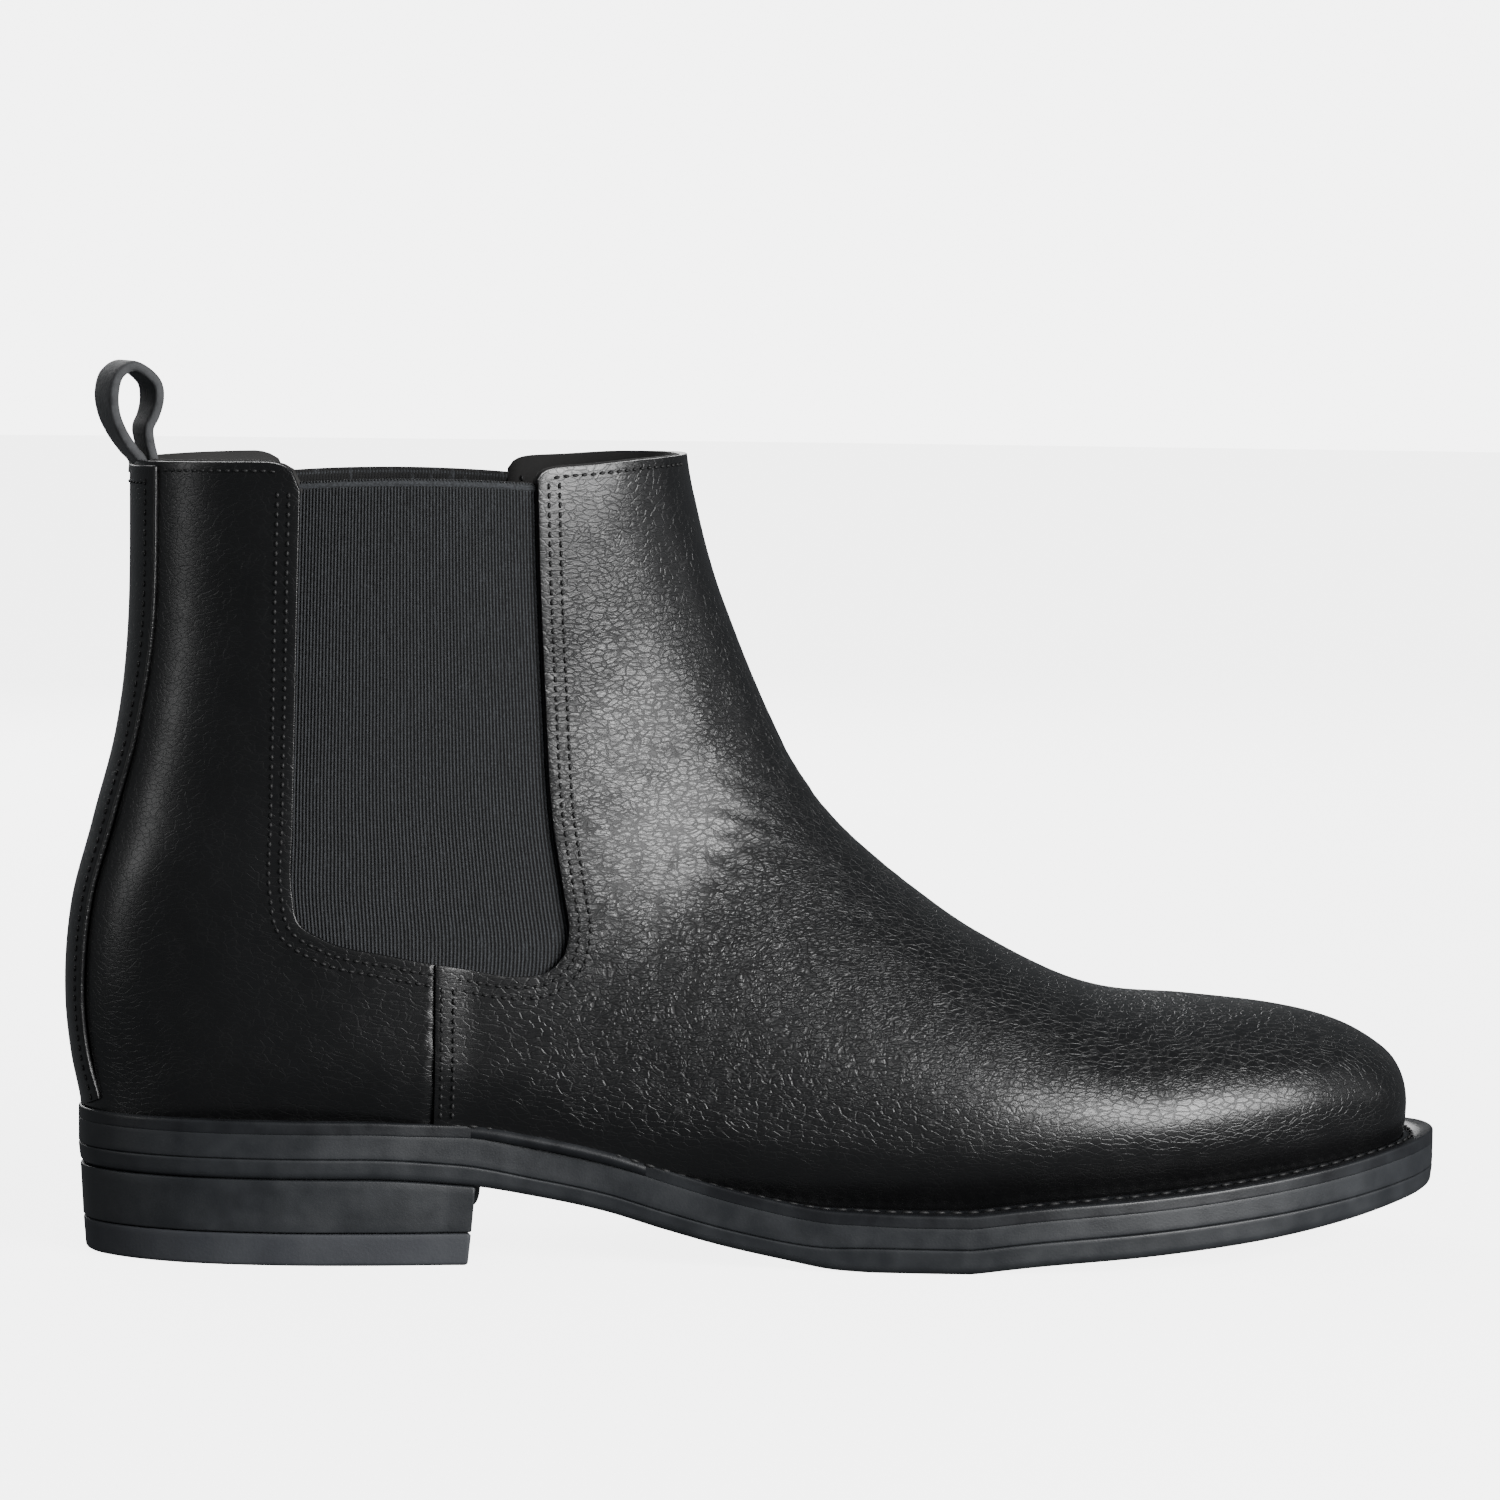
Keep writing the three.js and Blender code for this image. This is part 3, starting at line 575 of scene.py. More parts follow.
def piece(name: str, bm: bmesh.types.BMesh, finish: bpy.types.Material,
          replaces: Sequence[str] = ()) -> bpy.types.Object:
    """Turns a finished bmesh into a smooth-shaded object of the boot.

    Args:
        name: Name of the piece.
        bm: Its mesh, in the frame's metres.
        finish: Its material.
        replaces: CAD nodes that the piece stands for.

    Returns:
        The new object.
    """
    mesh = bpy.data.meshes.new(name)
    for face in bm.faces:
        face.smooth = True
    bm.to_mesh(mesh)
    bm.free()
    obj = bpy.data.objects.new(name, mesh)
    bpy.context.scene.collection.objects.link(obj)
    mesh.materials.append(finish)
    if replaces:
        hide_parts(*replaces)
    log.info("%s: %d faces", name, len(mesh.polygons))
    return obj


def thicken(obj: bpy.types.Object, thickness: float, edge: float = 0.0) -> None:
    """Gives a sheet its thickness inwards, and rounds its cut edges.

    Args:
        obj: The sheet.
        thickness: Thickness in millimetres.
        edge: Radius of the edge in millimetres, or 0 for none.
    """
    solid = obj.modifiers.new("thickness", "SOLIDIFY")
    solid.thickness = thickness * MM
    solid.offset = -1
    solid.use_even_offset = False
    if edge:
        rounded = obj.modifiers.new("edge", "BEVEL")
        rounded.width = edge * MM
        rounded.segments = 3
        rounded.limit_method = "ANGLE"
        rounded.angle_limit = math.radians(50)
        rounded.harden_normals = False


def baked(obj: bpy.types.Object) -> bpy.types.Object:
    """Applies an object's modifiers to its mesh.

    Args:
        obj: The object.

    Returns:
        The same object.
    """
    depsgraph = bpy.context.evaluated_depsgraph_get()
    depsgraph.update()
    mesh = bpy.data.meshes.new_from_object(obj.evaluated_get(depsgraph))
    old = obj.data
    obj.modifiers.clear()
    obj.data = mesh
    bpy.data.meshes.remove(old)
    mesh.name = obj.name
    return obj


def coons(low: Points, high: Points, left: Points, right: Points) -> Points:
    """Fills four boundary curves with a patch.

    Args:
        low: Boundary at the first column.
        high: Boundary at the last column.
        left: Boundary at the first row.
        right: Boundary at the last row.

    Returns:
        Rows by columns of points.
    """
    v = np.linspace(0, 1, len(left))[None, :, None]
    u = np.linspace(0, 1, len(low))[:, None, None]
    ruled = low[:, None] * (1 - v) + high[:, None] * v + left[None] * (1 - u) + right[None] * u
    corners = (low[0] * (1 - u) * (1 - v) + high[0] * (1 - u) * v + low[-1] * u * (1 - v) + high[-1] * u * v)
    return ruled - corners


def stitches(bm: bmesh.types.BMesh, points: Points, normals: Points, pitch: float, length: float,
             width: float, lift: float = 0.05) -> None:
    """Sews a row of thread stitches along a line.

    Args:
        bm: Mesh that receives the stitches.
        points: The line, in pattern millimetres.
        normals: Outward directions along the line.
        pitch: Distance from one stitch to the next.
        length: Length of the thread that shows.
        width: Thickness of the thread.
        lift: How far the middle of the thread stands above the line.
    """
    count = max(2, round(float(np.sum(np.linalg.norm(np.diff(points, axis=0), axis=1))) / pitch))
    even = resampled(np.hstack([points, normals]), 2 * count + 1)
    for k in range(1, 2 * count, 2):
        along = Vector(even[k + 1, :3] - even[k - 1, :3]).normalized()
        up = Vector(even[k, 3:])
        up = (up - along * up.dot(along)).normalized()
        across = up.cross(along)
        middle = Vector(to_row(even[k, :3])) + up * lift * MM
        shape = Matrix((along * length / 2 * MM, across * width / 2 * MM, up * width / 2 * MM)).transposed()
        bmesh.ops.create_uvsphere(bm, u_segments=6, v_segments=4, radius=1,
                                  matrix=Matrix.Translation(middle) @ shape.to_4x4())


# ---------------------------------------------------------------- finishes


def linear(hex_colour: str) -> tuple[float, float, float, float]:
    """An sRGB hex colour as a linear one."""
    parts = [int(hex_colour[k:k + 2], 16) / 255 for k in (1, 3, 5)]
    return (*[c / 12.92 if c <= 0.04045 else ((c + 0.055) / 1.055) ** 2.4 for c in parts], 1.0)


def add_node(tree: bpy.types.NodeTree, kind: str, inputs: dict | None = None,
             **settings: object) -> bpy.types.Node:
    """Adds a node with its settings, values and links.

    Args:
        tree: Node tree to add to.
        kind: Type of the shader node.
        inputs: Value or output socket for each named or numbered input.
        settings: Properties of the node.

    Returns:
        The node.
    """
    node = tree.nodes.new("ShaderNode" + kind)
    for name, value in settings.items():
        setattr(node, name, value)
    for name, value in (inputs or {}).items():
        if isinstance(value, bpy.types.NodeSocket):
            tree.links.new(value, node.inputs[name])
        else:
            node.inputs[name].default_value = value
    return node


def ramp(tree: bpy.types.NodeTree, value: bpy.types.NodeSocket,
         stops: Sequence[tuple[float, tuple[float, float, float, float]]]) -> bpy.types.NodeSocket:
    """Adds a colour ramp.

    Args:
        tree: Node tree to add to.
        value: Socket that drives it.
        stops: The place and the colour of each stop.

    Returns:
        Its colour output.
    """
    node = add_node(tree, "ValToRGB", {"Fac": value})
    while len(node.color_ramp.elements) < len(stops):
        node.color_ramp.elements.new(1.0)
    for element, (place, colour) in zip(node.color_ramp.elements, stops):
        element.position = place
        element.color = colour
    return node.outputs["Color"]


def new_material(name: str) -> tuple[bpy.types.Material, bpy.types.NodeTree]:
    """Starts a material with no nodes.

    Args:
        name: Name of the material.

    Returns:
        The material and its node tree.
    """
    material = bpy.data.materials.new(name)
    material.use_nodes = True
    material.node_tree.nodes.clear()
    return material, material.node_tree


def finish_with(tree: bpy.types.NodeTree, inputs: dict) -> None:
    """Ends a material in one principled shader."""
    shader = add_node(tree, "BsdfPrincipled", inputs)
    add_node(tree, "OutputMaterial", {"Surface": shader.outputs["BSDF"]})


def grey(value: float) -> tuple[float, float, float, float]:
    """A plain level for ramps that carry a factor."""
    return (value, value, value, 1.0)


@dataclass(frozen=True)
class FullGrainLeather:
    """Chrome-tanned calf, full grain, drum-dyed black and finished with wax: it shines softly and its
    grain breaks into fine cells where it has been pulled over the last."""

    name: str = "full_grain_calf_waxed"
    colour: str = "#0a0a0b"
    worn: str = "#111112"
    cell: float = 1.35             # height of a cell of the broken grain, in millimetres
    slant: float = 0.3             # the cells run slightly down towards the toe, in radians
    depth: float = 0.3             # depth of the lines between the cells, in millimetres
    pore: float = 0.45             # spacing of the fine grain, coarser than the real 0.2 so that it shows
    fine_cells: float = 2.1        # small cells to the length of one cell
    bend: float = 7.0              # distance over which the lines wander, in millimetres
    patch: float = 6.0             # size of the patches where the grain is more or less broken
    cloud: float = 26.0            # size of the clouds of lighter black

    def material(self) -> bpy.types.Material:
        """Builds the leather's material.

        Returns:
            The material: cracked grain where the crease level is high, pores everywhere, and wax on top.
        """
        material, tree = new_material(self.name)
        place = add_node(tree, "TexCoord").outputs["Object"]
        crease = add_node(tree, "Attribute", attribute_name="crease").outputs["Fac"]
        drift = add_node(tree, "TexNoise", {"Vector": place, "Scale": 1 / (self.bend * MM), "Detail": 3.0})
        bent = add_node(tree, "MixRGB", {"Fac": 0.003, "Color1": place, "Color2": drift.outputs["Color"]})
        laid = add_node(tree, "Mapping", {"Vector": bent.outputs[0], "Rotation": (0, self.slant, 0),
                                                    "Scale": (0.5, 0.7, 1.2)})
        cells = add_node(tree, "TexVoronoi", {"Vector": laid.outputs[0], "Scale": 1 / (self.cell * MM)},
                         feature="DISTANCE_TO_EDGE")
        small = add_node(tree, "TexVoronoi", {"Vector": laid.outputs[0],
                                                      "Scale": self.fine_cells / (self.cell * MM)},
                         feature="DISTANCE_TO_EDGE")
        groove = add_node(tree, "MapRange", {"Value": cells.outputs["Distance"], "From Max": 0.11},
                          interpolation_type="SMOOTHSTEP")
        nick = add_node(tree, "MapRange", {"Value": small.outputs["Distance"], "From Max": 0.16,
                                                     "To Max": 0.2}, interpolation_type="SMOOTHSTEP")
        cracked = add_node(tree, "Math", {0: groove.outputs["Result"], 1: nick.outputs["Result"]},
                           operation="ADD")
        wander = add_node(tree, "TexNoise", {"Vector": place, "Scale": 1 / (self.patch * MM), "Detail": 4.0})
        patchy = add_node(tree, "MapRange", {"Value": wander.outputs["Fac"], "From Min": 0.36,
                                                       "From Max": 0.6, "To Min": 0.55, "To Max": 1.0})
        strength = add_node(tree, "Math", {0: patchy.outputs["Result"], 1: crease}, operation="MULTIPLY")
        broken = add_node(tree, "Math", {0: cracked.outputs[0], 1: strength.outputs[0]},
                          operation="MULTIPLY")
        pores = add_node(tree, "TexNoise", {"Vector": place, "Scale": 1 / (self.pore * MM), "Detail": 2.0})
        grain = add_node(tree, "Bump", {"Height": pores.outputs["Fac"], "Strength": 0.12,
                                                  "Distance": 0.1 * MM})
        bump = add_node(tree, "Bump", {"Height": broken.outputs[0], "Strength": 0.9,
                                                 "Distance": self.depth * MM,
                                                 "Normal": grain.outputs["Normal"]})
        shade = add_node(tree, "TexNoise", {"Vector": place, "Scale": 1 / (self.cloud * MM), "Detail": 4.0})
        colour = ramp(tree, shade.outputs["Fac"], [(0.35, linear(self.colour)), (0.75, linear(self.worn))])
        open_line = add_node(tree, "Math", {0: 1.0, 1: groove.outputs["Result"]}, operation="SUBTRACT")
        dull = add_node(tree, "Math", {0: open_line.outputs[0], 1: strength.outputs[0]},
                        operation="MULTIPLY")
        waxed = add_node(tree, "MapRange", {"Value": wander.outputs["Fac"], "From Min": 0.3,
                                                      "From Max": 0.7, "To Min": 0.3, "To Max": 0.35})
        rough = add_node(tree, "Math", {0: dull.outputs[0], 1: 0.6, 2: waxed.outputs["Result"]},
                         operation="MULTIPLY_ADD").outputs[0]
        finish_with(tree, {"Base Color": colour, "Roughness": rough, "IOR": 1.5, "Specular IOR Level": 0.5,
                           "Normal": bump.outputs["Normal"], "Coat Weight": 0.3, "Coat Roughness": 0.28})
        return material


@dataclass(frozen=True)
class WovenElastic:
    """Covered rubber thread woven into ribbed elastic: matt charcoal, the weft showing across each rib."""

    name: str = "woven_elastic_charcoal"
    colour: str = "#303235"
    # painted shade for the valleys between the ribs
    shadow: str = "#060607"
    pick: float = 0.6              # spacing of the weft across the ribs, in millimetres
    fibre: float = 0.5             # size of the fuzz, coarser than the real fibres so that it shows

    def material(self) -> bpy.types.Material:
        """Builds the elastic's material.

        Returns:
            The material: ribs in the elastic's colour with painted shade in the gaps between them, by the rib
                level, and weft bands and fuzz over them.
        """
        material, tree = new_material(self.name)
        place = add_node(tree, "TexCoord").outputs["Object"]
        rib = add_node(tree, "Attribute", attribute_name="rib").outputs["Fac"]
        weft = add_node(tree, "TexWave", {"Vector": place, "Scale": 1 / (self.pick * MM) / 3.2,
                                                    "Distortion": 1.2, "Detail": 1.0},
                        wave_type="BANDS", bands_direction="Z")
        fuzz = add_node(tree, "TexNoise", {"Vector": place, "Scale": 1 / (self.fibre * MM), "Detail": 3.0})
        both = add_node(tree, "Math", {0: weft.outputs["Fac"], 1: fuzz.outputs["Fac"]}, operation="ADD")
        bump = add_node(tree, "Bump", {"Height": both.outputs[0], "Strength": 0.35, "Distance": 0.15 * MM})
        # painted shade: valleys between the ribs near black, rib tops charcoal
        colour = ramp(tree, rib, [(0.3, linear(self.shadow)), (0.75, linear(self.colour))])
        fleck = ramp(tree, fuzz.outputs["Fac"], [(0.35, grey(0.2)), (0.65, grey(0.85))])
        mottled = add_node(tree, "MixRGB", {"Fac": 0.7, "Color1": colour, "Color2": fleck},
                           blend_type="OVERLAY")
        finish_with(tree, {"Base Color": mottled.outputs[0], "Roughness": 0.88, "IOR": 1.5,
                           "Normal": bump.outputs["Normal"], "Sheen Weight": 0.12, "Sheen Roughness": 0.5})
        return material


@dataclass(frozen=True)
class GrainedSurface:
    """A plain moulded, pressed or tanned surface with soft mottling and fine grain."""

    name: str
    colour: str
    second: str
    roughness: tuple[float, float]
    grain: float                   # size of the grain, in millimetres
    mottle: float                  # size of the mottling, in millimetres
    depth: float = 0.08            # depth of the grain, in millimetres
    ior: float = 1.5
    metallic: float = 0.0
    sheen: float = 0.0

    def material(self) -> bpy.types.Material:
        """Builds the surface's material.

        Returns:
            The material.
        """
        material, tree = new_material(self.name)
        place = add_node(tree, "TexCoord").outputs["Object"]
        mottle = add_node(tree, "TexNoise", {"Vector": place, "Scale": 1 / (self.mottle * MM),
                                                       "Detail": 5.0})
        grain = add_node(tree, "TexNoise", {"Vector": place, "Scale": 1 / (self.grain * MM),
                                                      "Detail": 3.0})
        colour = ramp(tree, mottle.outputs["Fac"], [(0.35, linear(self.colour)), (0.7, linear(self.second))])
        smooth, rougher = self.roughness
        rough = ramp(tree, mottle.outputs["Fac"], [(0.3, grey(smooth)), (0.7, grey(rougher))])
        bump = add_node(tree, "Bump", {"Height": grain.outputs["Fac"], "Strength": 0.5,
                                                 "Distance": self.depth * MM})
        inputs = {"Base Color": colour, "Roughness": rough, "Metallic": self.metallic,
                  "Normal": bump.outputs["Normal"], "Sheen Weight": self.sheen}
        if not self.metallic:
            inputs["IOR"] = self.ior
        finish_with(tree, inputs)
        return material


@dataclass(frozen=True)
class Finishes:
    """Every material of the boot."""

    leather: bpy.types.Material
    elastic: bpy.types.Material
    lining: bpy.types.Material
    rubber: bpy.types.Material
    tread: bpy.types.Material
    welt: bpy.types.Material
    thread: bpy.types.Material
    webbing: bpy.types.Material
    board: bpy.types.Material
    cork: bpy.types.Material
    foam: bpy.types.Material
    steel: bpy.types.Material
    wire: bpy.types.Material

    @staticmethod
    def make() -> "Finishes":
        """Mixes every finish.

        Returns:
            The finishes.
        """
        plain = GrainedSurface
        return Finishes(
            leather=FullGrainLeather().material(),
            elastic=WovenElastic().material(),
            # Vegetable-tanned lining split, sueded: no shine.
            lining=plain("lining_split_leather", "#1b1a1a", "#262524", (0.7, 0.82), 0.5, 12).material(),
            # Vulcanised rubber pressed in a fine-blasted mould: satin, slightly blue, with small scuffs.
            rubber=plain("vulcanised_rubber_satin", "#232528", "#2d2f32", (0.4, 0.54), 0.5, 7, 0.06,
                         1.52).material(),
            # The same rubber where it meets the ground: greyer and matt.
            tread=plain("vulcanised_rubber_tread", "#33353a", "#3e4044", (0.62, 0.75), 0.7, 9, 0.1,
                        1.52).material(),
            # The same rubber with waxy edge dressing rubbed over it: darker and glossier.
            welt=plain("edge_dressed_rubber", "#17181b", "#222427", (0.34, 0.46), 0.5, 7, 0.05).material(),
            # Bonded nylon thread, waxed: nearly black with a faint sheen.
            thread=plain("bonded_nylon_thread", "#0a0a0b", "#131314", (0.55, 0.7), 0.4, 3, 0.05,
                         1.53).material(),
            # Leather-faced webbing: dull and grained.
            webbing=plain("leather_faced_webbing", "#303133", "#48494b", (0.68, 0.82), 0.8, 2.5, 0.25, 1.5,
                          sheen=0.15).material(),
            # Stiffeners and insole of pressed cellulose fibre: tan and quite dull.
            board=plain("pressed_cellulose_board", "#a98b63", "#b99b74", (0.85, 0.92), 0.8, 6).material(),
            # Cork granules in binder: coarse brown and tan specks.
            cork=plain("granulated_cork", "#9a7348", "#c39a66", (0.9, 0.96), 1.4, 2.5, 0.3).material(),
            # Open-cell polyurethane foam: dull grey with fine cells.
            foam=plain("polyurethane_foam", "#3c3c3e", "#48484a", (0.9, 0.95), 0.6, 5, 0.2).material(),
            # Rolled spring steel and drawn nail wire: grey metal with a soft shine.
            steel=plain("rolled_spring_steel", "#8d8f92", "#a3a5a8", (0.3, 0.42), 0.3, 8, 0.02,
                        metallic=1).material(),
            wire=plain("drawn_nail_wire", "#96989b", "#adafb2", (0.28, 0.36), 0.3, 4, 0.02,
                       metallic=1).material())


# ---------------------------------------------------------------- the upper


@dataclass(frozen=True)
class UpperPattern:
    """Cutting lines of the upper seen from the side, and the joins between its panels."""

    seam: float = 75.9                 # side seam, from the back of the sole
    seam_top: float = 66.8             # top of the side seam, at the cut-out
    seam_zone: float = 80.0            # height below which the side seam lies
    tuck: float = 6.0                  # quarter that runs on under the vamp
    tuck_top: float = 64.0             # top of that part
    rail_foot: float = 118.0           # where the wing of the vamp leaves the sole
    rear_corner: tuple[float, float] = (46.5, 74.5)
    wing_corner: tuple[float, float] = (102.2, 66.2)
    nose: tuple[float, float] = (104.9, 73.0)      # foremost point of the cut-out
    front_edge: float = 97.4           # top of the front panel's rear edge
    flange: float = 6.0                # elastic held under the leather
    flange_rear: tuple[float, float] = (41.0, 68.0)
    flange_front: tuple[float, float] = (106.5, 62.5)
    elastic_top: float = 170.0
    elastic_bow: float = 1.4           # rise of the elastic's top edge in the middle

    def gore_path(self) -> Points:
        """Cut-out for the elastic, from the rear top corner round to the front top corner."""
        return spline([(45.9, 168.6), (45.5, 145), (45.2, 120), (44.9, 97), (44.9, 81), (46.2, 75),
                       (51.6, 71.4), (66, 68), (82, 65.3), (93.5, 63.7), (99.5, 64.4), (103.6, 67.8),
                       self.nose, (103.9, 81), (101.4, 97), (99.6, 124), (97.8, 158), (self.front_edge, 171)])

    def split(self) -> tuple[Points, Points, Points]:
        """Splits the cut-out at the side seam and at its front lower corner.

        Returns:
            Its rear, its lower edge forward of the seam, and its front.
        """
        path = self.gore_path()
        above = path[:, 1] >= self.seam_zone
        at_seam = int(np.argmin(np.where(above, np.inf, np.abs(path[:, 0] - self.seam))))
        corner = nearest(path, *self.wing_corner)
        return path[:at_seam + 1], path[at_seam:corner + 1], path[corner:]

    def rear_topline(self) -> Curve:
        """Topline of the quarters."""
        return smooth_curve([(-12, 173.6), (14, 174.1), (27, 174.5), (39, 174.7), (43, 173.7), (45.2, 171.4),
                             (45.9, 168.6)])

    def front_topline(self) -> Curve:
        """Topline of the front panel."""
        return smooth_curve([(self.front_edge, 169.8), (98, 171.8), (99.6, 173.3), (102, 173.9), (110, 174.5),
                             (122, 175.6), (150, 177.1)])


@dataclass(frozen=True)
class Upper:
    """Leather panels, elastic, linings and their stitching."""

    last: Last
    finishes: Finishes
    pattern: UpperPattern = UpperPattern()
    leather: float = 1.6               # thickness of the vamp and quarters
    strap: float = 1.2                 # thickness of the backstay
    lining: float = 1.0                # thickness of the lining
    lining_depth: float = 3.3          # face of the lining, inside the face of the leather
    closed_depth: float = 1.66         # the same at the topline, where lining and leather are closed together
    cut_round: float = 0.35            # rounding of a cut edge
    lapped_round: float = 0.6          # rounding of the vamp's thicker edge
    lining_round: float = 0.25
    lap: float = 0.8                   # how far the vamp's edge is lifted by the quarter under it
    lap_run: float = 9.0               # length over which it settles
    skive: float = 1.3                 # how far the quarter sinks under the vamp
    calm: float = 0.6                  # wrinkles of the quarters and backstay, as a share of the vamp's
    unbroken: float = 0.12             # crease level of leather that hardly bends
    ribs: int = 90                     # ribs of one elastic panel
    elastic_depth: float = 2.25        # valleys between the ribs, inside the face of the leather
    rib_height: float = 0.45
    elastic_thick: float = 0.85
    hem: float = 2.35                  # middle of the hem, inside the face of the leather
    pitch: float = 2.1                 # from one stitch to the next
    thread: float = 0.8                # width of a stitch on the leather
    topline_row: float = 1.9           # row of stitches below the topline

    @property
    def sole(self) -> SoleProfile:
        """The sole under the upper."""
        return self.last.sole

    # -- domains ------------------------------------------------------------

    def front_domain(self) -> tuple[Points, Points]:
        """Lays out the panel over the crown, from the toe to the topline, as rows of t and angle.

        Returns:
            The rows by columns grid of t and angle, and the stations of the wing's rail.
        """
        last, pattern = self.last, self.pattern
        _, _, front = pattern.split()
        foot = np.array([pattern.rail_foot, self.sole.upper_bottom(pattern.rail_foot)])
        rail = last.locate(resampled(np.array([foot, front[0]]), 60))
        over_top = [pattern.front_edge, 181]
        edge = last.locate(np.vstack([front, [over_top]]))
        below = np.linspace(0, rail[0, 0], 220)
        feather = last.feather_angle(below, self.sole.upper_bottom)
        t_known = np.concatenate([below[:-1], rail[:-1, 0], edge[:, 0]])
        a_known = np.concatenate([feather[:-1], rail[:-1, 1], edge[:, 1]])
        order = np.argsort(t_known)
        t_known, a_known = t_known[order], a_known[order]

        def stations(start: float, end: float, count: int) -> Points:
            """Spaces rows evenly over the mean of the ridge and the edge.

            Args:
                start: The t of the first row.
                end: The t of the last row.
                count: How many rows.

            Returns:
                The t of each row.
            """
            t = np.linspace(start, end, 400)
            ridge = np.linalg.norm(np.diff(last.point(t, 0.0), axis=0), axis=1)
            low = np.linalg.norm(np.diff(last.point(t, np.interp(t, t_known, a_known)), axis=0), axis=1)
            travel = np.concatenate(([0], np.cumsum(ridge + low)))
            return np.interp(np.linspace(0, travel[-1], count), travel, t)

        t_foot, t_nose, t_top = rail[0, 0], rail[-1, 0], 1.0
        forepart_rows, wing_rows, shaft_rows, columns = 118, 38, 62, 131
        lower = stations(0, t_foot, forepart_rows)
        middle = stations(t_foot, t_nose, wing_rows)
        upper = stations(t_nose, t_top, shaft_rows)
        rows = np.concatenate([lower[:-1], middle[:-1], upper])
        share = np.linspace(-1, 1, columns)
        t = np.repeat(rows[:, None], len(share), axis=1)
        bound = np.interp(rows, t_known, a_known)
        angle_top = share * bound[-1]
        t_end = last.top_t(np.abs(angle_top), pattern.front_topline())
        start = t_nose + 0.05
        rise = np.clip((t - start) / (t_top - start), 0, 1)
        t = np.where(t > start, start + rise * (t_end[None] - start), t)
        angle = share[None] * np.interp(t, t_known, a_known)
        return np.stack([t, angle], axis=-1), np.stack([middle, np.interp(middle, t_known, a_known)], axis=1)

    def wing_domain(self, rail: Points) -> Points:
        """Lays out the part of the vamp under the elastic.

        Args:
            rail: The t and the angle of the line where it leaves the panel over the crown.

        Returns:
            The grid of t and angle, from the rail back to the side seam.
        """
        last, pattern = self.last, self.pattern
        _, below, _ = pattern.split()
        count = 30
        edge = last.locate(resampled(below[::-1], count))
        x = np.linspace(pattern.rail_foot, pattern.seam, count)
        feather = last.locate(np.stack([x, self.sole.upper_bottom(x)], axis=1))
        ends = [[pattern.seam, self.sole.upper_bottom(pattern.seam)], [pattern.seam, below[0, 1]]]
        seam = last.locate(resampled(np.array(ends), len(rail)))
        feather[0], feather[-1], edge[0], edge[-1] = rail[0], seam[0], rail[-1], seam[-1]
        return coons(rail, seam, feather, edge)

    def quarter_domain(self) -> Points:
        """Lays out a quarter, as a strip from the topline down the back seam and forward to the side seam.

        Returns:
            The grid of t and angle.
        """
        last, pattern = self.last, self.pattern
        rear, below, _ = pattern.split()
        down, forward, across = 74, 44, 36
        front = pattern.seam + pattern.tuck
        corner = nearest(rear, *pattern.rear_corner)
        tucked = np.array([p - [0, 1.2] for p in below if pattern.seam + 1 < p[0] < front]
                          + [[front, pattern.tuck_top]])
        inner = np.vstack([resampled(rear[:corner + 1], down)[:-1],
                           resampled(np.vstack([rear[corner:], tucked]), forward)])
        heel_t = last.back_foot(self.sole.upper_bottom, last.seam_foot)
        top = float(last.top_t(np.array(math.pi), pattern.rear_topline()))
        back_steps = np.linspace(top, heel_t, 200)
        travel = travelled(last.point(back_steps, math.pi))
        back_t = np.interp(np.linspace(0, travel[-1], down), travel, back_steps)
        count = 300
        round_t = np.linspace(heel_t, last.under_heel, count)
        round_a = last.feather_angle(round_t, self.sole.upper_bottom)
        seat = last.point(round_t, round_a)
        travel = travelled(seat)
        reach = np.interp(front, seat[:, 0], travel) if seat[-1, 0] > front else travel[-1]
        even = np.interp(np.linspace(0, reach, forward), travel, np.arange(count))
        low_edge = np.stack([np.interp(even, np.arange(count), seen) for seen in (round_t, round_a)], axis=1)
        outer = np.vstack([np.stack([back_t, np.full(down, math.pi)], axis=1)[:-1], low_edge])
        outer[down - 1] = [heel_t, math.pi]
        inner_domain = last.locate(inner)
        angle = np.linspace(math.pi, inner_domain[0, 1], across)
        first = np.stack([last.top_t(angle, pattern.rear_topline()), angle], axis=1)
        inner_domain[0] = first[-1]
        end = last.locate(resampled(np.array([last.point(*outer[-1])[[0, 2]], inner[-1]]), across))
        end[0], end[-1] = outer[-1], inner_domain[-1]
        return coons(outer, inner_domain, first, end)

    def elastic_domain(self, rows: int, columns: int) -> Points:
        """Lays out an elastic panel with the flange that the leather covers.

        Args:
            rows: Points from the top down.
            columns: Points from the rear forward.

        Returns:
            The grid of t and angle.
        """
        last, pattern = self.last, self.pattern
        path = side_offset(pattern.gore_path(), pattern.flange)
        rear_foot = nearest(path, *pattern.flange_rear)
        front_foot = nearest(path, *pattern.flange_front)
        top = pattern.elastic_top
        rear = np.vstack([[path[0, 0], top], path[1:rear_foot + 1][path[1:rear_foot + 1, 1] < top - 0.5]])
        front = np.vstack([path[front_foot:][path[front_foot:, 1] < top - 0.5], [path[-1, 0], top]])
        rear_side = resampled(rear, rows)
        front_side = resampled(front[::-1], rows)
        bottom = resampled(path[rear_foot:front_foot + 1], columns)
        across = resampled(np.array([rear_side[0], front_side[0]]), columns)
        across[:, 1] += pattern.elastic_bow * (1 - np.linspace(-1, 1, columns) ** 2)
        patch = coons(rear_side, front_side, across, bottom)
        return last.locate(patch.reshape(-1, 2)).reshape(rows, columns, 2)

    # -- surfaces -----------------------------------------------------------

